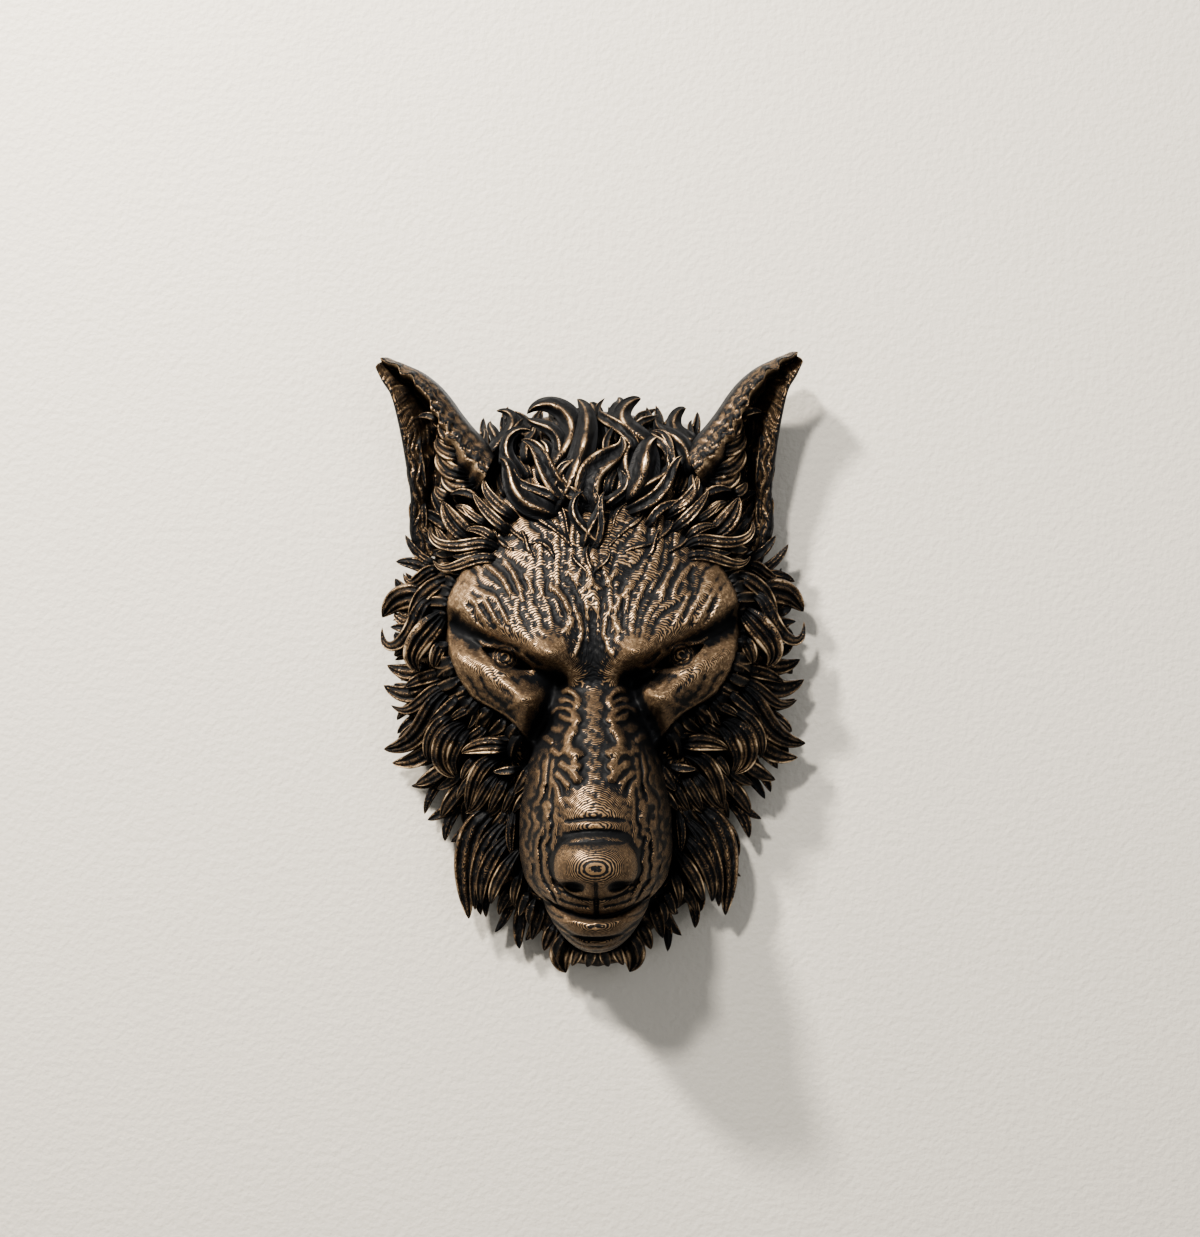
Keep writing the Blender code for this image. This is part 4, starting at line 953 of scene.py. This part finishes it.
def addNode(tree, kind, settings=None, out=0, **values):  # settings first, then sockets by number (i0) or name
    node = tree.nodes.new(kind)
    for key, value in (settings or {}).items():
        if key == "stops":
            while len(node.color_ramp.elements) < len(value):
                node.color_ramp.elements.new(0.5)
            for element, (place, colour) in zip(node.color_ramp.elements, value):
                element.position, element.color = place, (*colour, 1.0)
        else:
            setattr(node, key, value)
    for key, value in values.items():
        socket = node.inputs[int(key[1:]) if key[0] == "i" and key[1:].isdigit() else key.replace("_", " ")]
        if isinstance(value, Sock):
            tree.links.new(value.out, socket)
        else:
            socket.default_value = value
    return Sock(tree, node.outputs[out])


def mixColour(tree, share, a, b):
    node = tree.nodes.new("ShaderNodeMix")
    node.data_type = "RGBA"
    for socket, value in ((node.inputs[0], share), (node.inputs[6], a), (node.inputs[7], b)):
        if isinstance(value, Sock):
            tree.links.new(value.out, socket)
        else:
            socket.default_value = value if isinstance(value, (int, float)) else (*value, 1.0)
    return Sock(tree, node.outputs[2])


def newMaterial(name):
    made = bpy.data.materials.new(name)
    made.use_nodes = True
    return made, made.node_tree, made.node_tree.nodes["Principled BSDF"]


paintLook = {
    "black": (0.007, 0.008, 0.010),
    "brown": (0.040, 0.028, 0.018),
    "copper": (0.31, 0.21, 0.125),
    "pale": (0.76, 0.60, 0.42),
    "layer": 0.45,  # mm between printed layers
    "layerDeep": 0.14,
    "stepGold": 0.75,  # how much sooner a step's edge takes copper than its foot
}


def makePaint():  # black, with copper where "raised" is high, broken by the layer steps in depth and by noise
    made, tree, shader = newMaterial("wolfPaint")
    place = addNode(tree, "ShaderNodeTexCoord", out=3)
    raised = addNode(tree, "ShaderNodeAttribute", {"attribute_name": "raised"}, out=2)
    depth = addNode(tree, "ShaderNodeSeparateXYZ", out=1, i0=place)
    cloud = addNode(tree, "ShaderNodeTexNoise", i2=90.0, i3=3.0, Vector=place)
    speck = addNode(tree, "ShaderNodeTexNoise", i2=900.0, i3=2.0, Vector=place)
    turn = depth * (2 * math.pi / (paintLook["layer"] * mm)) + (speck - 0.5) * 2.0
    band = raised.maths("SINE", turn) * 0.5 + 0.5
    dry = raised + (cloud - 0.5) * 0.2 + (speck - 0.5) * 0.9
    onStep = band.step(0.2, 0.8)
    copper = (dry + (band - 0.5) * paintLook["stepGold"]).step(0.50, 0.78)
    tone = mixColour(tree, dry.step(0.6, 1.2), paintLook["copper"], paintLook["pale"])
    ground = mixColour(tree, dry.step(0.45, 1.1), paintLook["black"], paintLook["brown"])
    tree.links.new(mixColour(tree, copper, ground, tone).out, shader.inputs["Base Color"])
    tree.links.new((copper * 0.7).out, shader.inputs["Metallic"])
    tree.links.new((0.55 - copper * 0.15).out, shader.inputs["Roughness"])
    shader.inputs["Specular IOR Level"].default_value = 0.3
    high = onStep * paintLook["layerDeep"] + speck * 0.06
    bump = tree.nodes.new("ShaderNodeBump")
    bump.inputs["Strength"].default_value = 0.7
    bump.inputs["Distance"].default_value = mm
    tree.links.new(high.out, bump.inputs["Height"])
    tree.links.new(bump.outputs[0], shader.inputs["Normal"])
    return made


paint = makePaint()


def rowPlaces(low, high, count):
    # z of rows at equal lengths of surface, measured down three lines of the head
    z = np.linspace(low, high, 1600)
    step = np.zeros(len(z) - 1)
    for x in (0.0, 12.0, 24.0, 45.0):
        step += np.minimum(np.hypot(np.diff(z), np.diff(headDepth(np.full_like(z, x), z))), 3.2 * np.diff(z))
    run = np.concatenate([[0], np.cumsum(step)])
    return np.interp(np.linspace(0, run[-1], count), run, z)


def headGrid(rows, cols, low, high, halfWidth, fine, even=0):
    # rows of points spaced evenly along the surface between -halfWidth and halfWidth
    z = rowPlaces(low, high, rows)
    share = np.linspace(-1, 1, 901)
    X = np.empty((rows, cols))
    for i, zi in enumerate(z):
        x = share * halfWidth(np.array([zi]))[0]
        steps = np.hypot(np.diff(x), np.diff(headDepth(x, np.full_like(x, zi))))
        run = np.concatenate([[0], np.cumsum(steps)])
        X[i] = np.interp(np.linspace(0, run[-1], cols), run, x)
    if even:
        X = blurGrid(X, even, False, (0, 0))
    Z = np.repeat(z[:, None], cols, 1)
    return np.stack([X, -headDepth(X, Z, fine), Z], -1)


rub = [  # middle (x, z), radii, and how much more copper the brush left there
    ((52.0, 24.0), (8.0, 9.0), 0.14),
    ((11.0, 17.0), (4.0, 5.0), 0.08),
    ((57.0, -13.0), (4.0, 8.0), 0.10),
    ((0.0, 38.0), (5.0, 14.0), -0.12),
    ((30.0, 40.0), (30.0, 16.0), 0.02),
    ((38.0, 4.0), (12.0, 5.0), 0.08),
    ((26.0, -13.0), (5.0, 4.0), 0.12),
    ((44.0, -10.0), (16.0, 12.0), 0.06),
    ((20.0, 44.0), (26.0, 14.0), 0.03),
    ((0.0, -80.0), (13.0, 9.0), -0.10),
    ((34.0, -2.0), (8.0, 2.5), -0.10),
    ((0.0, 14.0), (11.0, 24.0), 0.20),
    ((27.0, -62.0), (8.0, 34.0), -0.03),
    ((12.0, -30.0), (6.0, 20.0), 0.08),
    ((12.0, -5.0), (6.0, 8.0), 0.06),
    ((0.0, -30.0), (7.0, 26.0), -0.12),
    ((0.0, -72.0), (10.0, 5.0), -0.20),
    ((0.0, -118.0), (30.0, 9.0), -0.14),
    ((0.0, -70.0), (16.0, 4.0), -0.12),
    ((0.0, 88.0), (60.0, 18.0), -0.25),
]


def rubbed(x, z):  # 0.33, less on the muzzle, and a bell more or less at each place of rub
    share = 0.33 - 0.04 * smoothStep((-8 - z) / 12)
    for middle, radii, more in rub:
        share = share + more * boss(np.abs(x), z, middle, radii)
    return share


def faceLimit(z):  # how far out the fine face reaches
    reach = np.maximum(along(face["border"], z) + 7, along(muzzle["halfWidth"], z) + 5)
    return np.minimum(reach, along(maneBase["halfWidth"], z) - 0.5)


def makeFace():  # one grid, put as an upper and a lower mesh that share a row
    rows, cols, shared = 596, 296, 303
    points = headGrid(rows, cols, face["low"], face["high"], faceLimit, True, 8)
    edge = np.zeros(points.shape[:2])
    edge[[0, -1]] = 1
    edge[:, [0, -1]] = 1
    points[..., 1] += 1.2 * edge
    near = np.clip(standing(points, False, 4, 2.2) - 0.5, -0.34, 0.30)
    broad = np.clip(standing(points, False, 24, 0.10) - 0.5, -0.12, 0.05)
    x, z = points[..., 0], points[..., 2]
    raised = rubbed(x, z) + near + broad - 0.1 * (1 - np.abs(normalsOf(points, False)[..., 1]))
    fromPupil = np.hypot(np.abs(x) - eye["ball"][0], z - eye["ball"][1])
    onBall = smoothStep((6.5 - fromPupil) / 1.5) * smoothStep((fromPupil - 0.8) / 0.5)
    raised = raised + (0.36 + 0.30 * np.cos(fromPupil * eye["rings"]) - raised) * onBall
    for name, part in (("muzzle", slice(0, shared + 1)), ("brow", slice(shared, rows))):
        count = len(range(rows)[part])
        putMesh(name, points[part].reshape(-1, 3), gridFaces(count, cols, False), [], raised[part].ravel())


def makeManeBase():  # the dome between the locks, sunk under the face and closed behind
    rows, cols = 170, 150
    limit = lambda z: along(maneBase["halfWidth"], z)
    points = headGrid(rows, cols, maneBase["low"], maneBase["high"], limit, False)
    x, z = points[..., 0], points[..., 2]
    turn = np.degrees(np.arctan2(x, z - fur["middle"][1])) + 5.0 * waves(x, z, 26, 45)
    inset = smoothStep((limit(z) - np.abs(x) - 2) / 4)
    inset = inset * smoothStep((z - maneBase["low"]) / 6) * smoothStep((maneBase["high"] - z) / 8)
    covered = smoothStep((faceLimit(z) - np.abs(x)) / 3)
    covered = covered * smoothStep((z - face["low"]) / 3) * smoothStep((face["high"] - z) / 3)
    besideFace = smoothStep((faceLimit(z) + 4 - np.abs(x)) / 4)
    inset = inset * (1 - besideFace * (z > face["low"] - 2) * (z < face["high"] + 2))
    relief = 1.1 * ridges(2 * math.pi * turn / 6.0) + 0.4 * waves(x, z, 5, 46)
    points[..., 1] += 0.5 + 1.5 * covered - inset * relief
    raised = 0.24 + 0.9 * (standing(points, False, 3, 0.8) - 0.5) * inset
    z = points[:, 0, 2]
    ceiling = 6.0 + 8.5 * smoothStep((z + 120) / 15) * smoothStep((106 - z) / 16)
    foot = points[:, [-1, 0]] * np.array([1.0, 0.0, 1.0])
    inner = foot * np.array([0.96, 1.0, 1.0]) - ceiling[:, None, None] * np.array([0.0, 1.0, 0.0])
    ring = np.concatenate([points, foot[:, :1], inner, foot[:, 1:]], 1)
    raised = np.pad(raised, ((0, 0), (0, 4)))
    around = cols + 4
    ends = [np.arange(around)[::-1], np.arange((rows - 1) * around, rows * around)]
    putMesh("maneBase", ring.reshape(-1, 3), gridFaces(rows, around, True), ends, raised.ravel(), True)


slot = {"halfWidth": 5.0, "down": 9.0, "up": 9.0, "deep": 12.0, "middleZ": 70.0, "wall": 1.5, "behind": 5.5}


def makeBack():  # rings from the slot's floor out over the flat back to its edge, then back in behind it
    turns = np.linspace(-math.pi, math.pi, 361)[:-1]
    dx, dz = np.sin(turns), np.cos(turns)
    spring = slot["up"] - slot["halfWidth"]  # where the round top starts
    side = slot["halfWidth"] / np.maximum(np.abs(dx), 1e-6)
    top = spring * dz + np.sqrt((spring * dz) ** 2 + slot["halfWidth"] ** 2 - spring**2)
    bottom = slot["down"] / np.maximum(-dz, 1e-6)
    edge = np.where(side * dz > spring, top, np.where(side * dz < -slot["down"], bottom, side))
    outer = 0.975 * outlineReach(slot["middleZ"], turns)
    wide = edge + slot["wall"]
    rings = [(edge, slot["deep"]), (edge, 0.0), (0.5 * (edge + outer), 0.0), (outer, 0.0),
             (outer, slot["behind"]), (wide, slot["behind"]), (wide, slot["deep"] + slot["wall"])]
    points = np.array([np.stack([r * dx, np.full_like(r, -depth), slot["middleZ"] + r * dz], -1)
                       for r, depth in rings])
    putTubes("back", [(points[::-1], np.full(points.shape[:2], 0.0))], True)


tuftLook = {
    "sway": 0.07,
    "swayAt": np.array([0, -1, 0, 1, 0]),
    "lift": np.array([0.0, 0.9, 1.5, 1.7, 1.2]),  # mm over the head
    "width": 1.3,
    "gold": 0.8,
}


def tuftPath(path, rounds=5):
    # (x, z) where the rays through a tuft's pixels meet the head, found by going back and forth
    u, v = np.array(path, float).T
    depth = np.full(len(u), 50.0)
    for turn in range(rounds):
        x, z, scale = seenAt(u, v, depth)
        depth = headDepth(x, z)
    x, z, scale = seenAt(u, v, depth)
    return np.column_stack([x, z])


def makeTufts():  # low single-crest locks over the forehead, swaying to one side and the other
    tufts = []
    for path, width, strands in foreheadTufts:
        at = through(tuftPath(path), np.linspace(0, 1, 5))
        run = at[-1] - at[0]
        side = 1 - 2 * (len(tufts) % 2)
        at = at + tuftLook["sway"] * side * tuftLook["swayAt"][:, None] * np.array([run[1], -run[0]])
        line = np.column_stack([at, headDepth(at[:, 0], at[:, 1]) + tuftLook["lift"]])
        wide = round(width * view["away"] / view["pixels"], 1)
        tufts.append(hairLock(line, tuftLook["width"] * wide, 0, gold=tuftLook["gold"]))
    putTubes("foreheadTufts", tufts)


makeFace()
makeManeBase()
makeBack()
golds = np.random.default_rng(5)
pairs = [hairLock(*row, gold=golds.uniform(0.72, 1.0)) for row in inMillimetres(sideLocks + templeLocks, True)]
putTubes("leftMane", [mirrored(t) for t in pairs])
putTubes("rightMane", pairs)
crown = inMillimetres(crownLocks)
putTubes("crown", [flame(row[0], row[1], 1 - 2 * (n % 2), int(n % 3 == 0)) for n, row in enumerate(crown)])
makeTufts()
halves = [earShell()] + [hairLock(*row) for row in earTufts]
putTubes("ears", halves + [mirrored(t) for t in halves])
putTubes("underFur", underFur())
ruffPairs = ruffLocks()
putTubes("ruff", ruffPairs + [mirrored(t) for t in ruffPairs])

# The wall, see-through from behind, then the light and the camera.
room = {"wall": (0.66, 0.63, 0.57), "grain": 330.0}
bpy.ops.mesh.primitive_plane_add(size=4.0, location=(0, 0.0006, 0), rotation=(math.pi / 2, 0, 0))
wall = bpy.context.object
wall.name = "wall"
wall.visible_shadow = False
wallPaint, tree, shader = newMaterial("wallPaint")
shader.inputs["Roughness"].default_value = 0.6
place = addNode(tree, "ShaderNodeTexCoord", out=3)
grain = addNode(tree, "ShaderNodeTexNoise", i2=room["grain"], i3=2.0, Vector=place)
shader.inputs["Base Color"].default_value = (*room["wall"], 1.0)
bump = tree.nodes.new("ShaderNodeBump")
bump.inputs["Strength"].default_value = 0.5
bump.inputs["Distance"].default_value = 0.001
tree.links.new(grain.out, bump.inputs["Height"])
tree.links.new(bump.outputs[0], shader.inputs["Normal"])
behind = addNode(tree, "ShaderNodeNewGeometry", out=6)
mixer = tree.nodes.new("ShaderNodeMixShader")
clear = tree.nodes.new("ShaderNodeBsdfTransparent")
tree.links.new(behind.out, mixer.inputs[0])
tree.links.new(shader.outputs[0], mixer.inputs[1])
tree.links.new(clear.outputs[0], mixer.inputs[2])
tree.links.new(mixer.outputs[0], tree.nodes["Material Output"].inputs["Surface"])
wall.data.materials.append(wallPaint)


def addLight(name, place, aim, power, size, colour):
    data = bpy.data.lights.new(name, "AREA")
    data.energy, data.size, data.color = power, size, colour
    made = bpy.data.objects.new(name, data)
    bpy.context.scene.collection.objects.link(made)
    made.location = place
    made.rotation_mode = "QUATERNION"
    made.rotation_quaternion = (Vector(aim) - Vector(place)).to_track_quat("-Z", "Y")
    return made


addLight("key", (-0.46, -1.3, 0.88), (0, 0, 0), 19, 0.12, (1.0, 0.95, 0.88))
addLight("second", (-0.80, -1.0, 1.17), (0, 0, 0), 36, 0.16, (1.0, 0.93, 0.84))
addLight("fill", (0.9, -1.6, 0.3), (0, 0, 0), 5, 1.2, (0.95, 0.97, 1.0))
addLight("behindLight", (0.2, 0.9, 0.5), (0, 0, 0), 16, 0.8, (1.0, 1.0, 1.0))
world = bpy.data.worlds.new("room")
bpy.context.scene.world = world
world.use_nodes = True
world.node_tree.nodes["Background"].inputs["Color"].default_value = (0.80, 0.79, 0.77, 1.0)
world.node_tree.nodes["Background"].inputs["Strength"].default_value = 0.38

bpy.context.scene.view_settings.look = "AgX - High Contrast"

cameraData = bpy.data.cameras.new("camera")
cameraData.sensor_width, cameraData.lens = view["sensor"], view["lens"]
camera = bpy.data.objects.new("camera", cameraData)
bpy.context.scene.collection.objects.link(camera)
camera.location = (view["right"] * mm, -view["away"] * mm, view["up"] * mm)
camera.rotation_mode = "QUATERNION"
level = Vector((0, 1, 0)).to_track_quat("-Z", "Y")
camera.rotation_quaternion = level @ Quaternion((0, 0, 1), math.radians(-view["roll"]))
bpy.context.scene.camera = camera
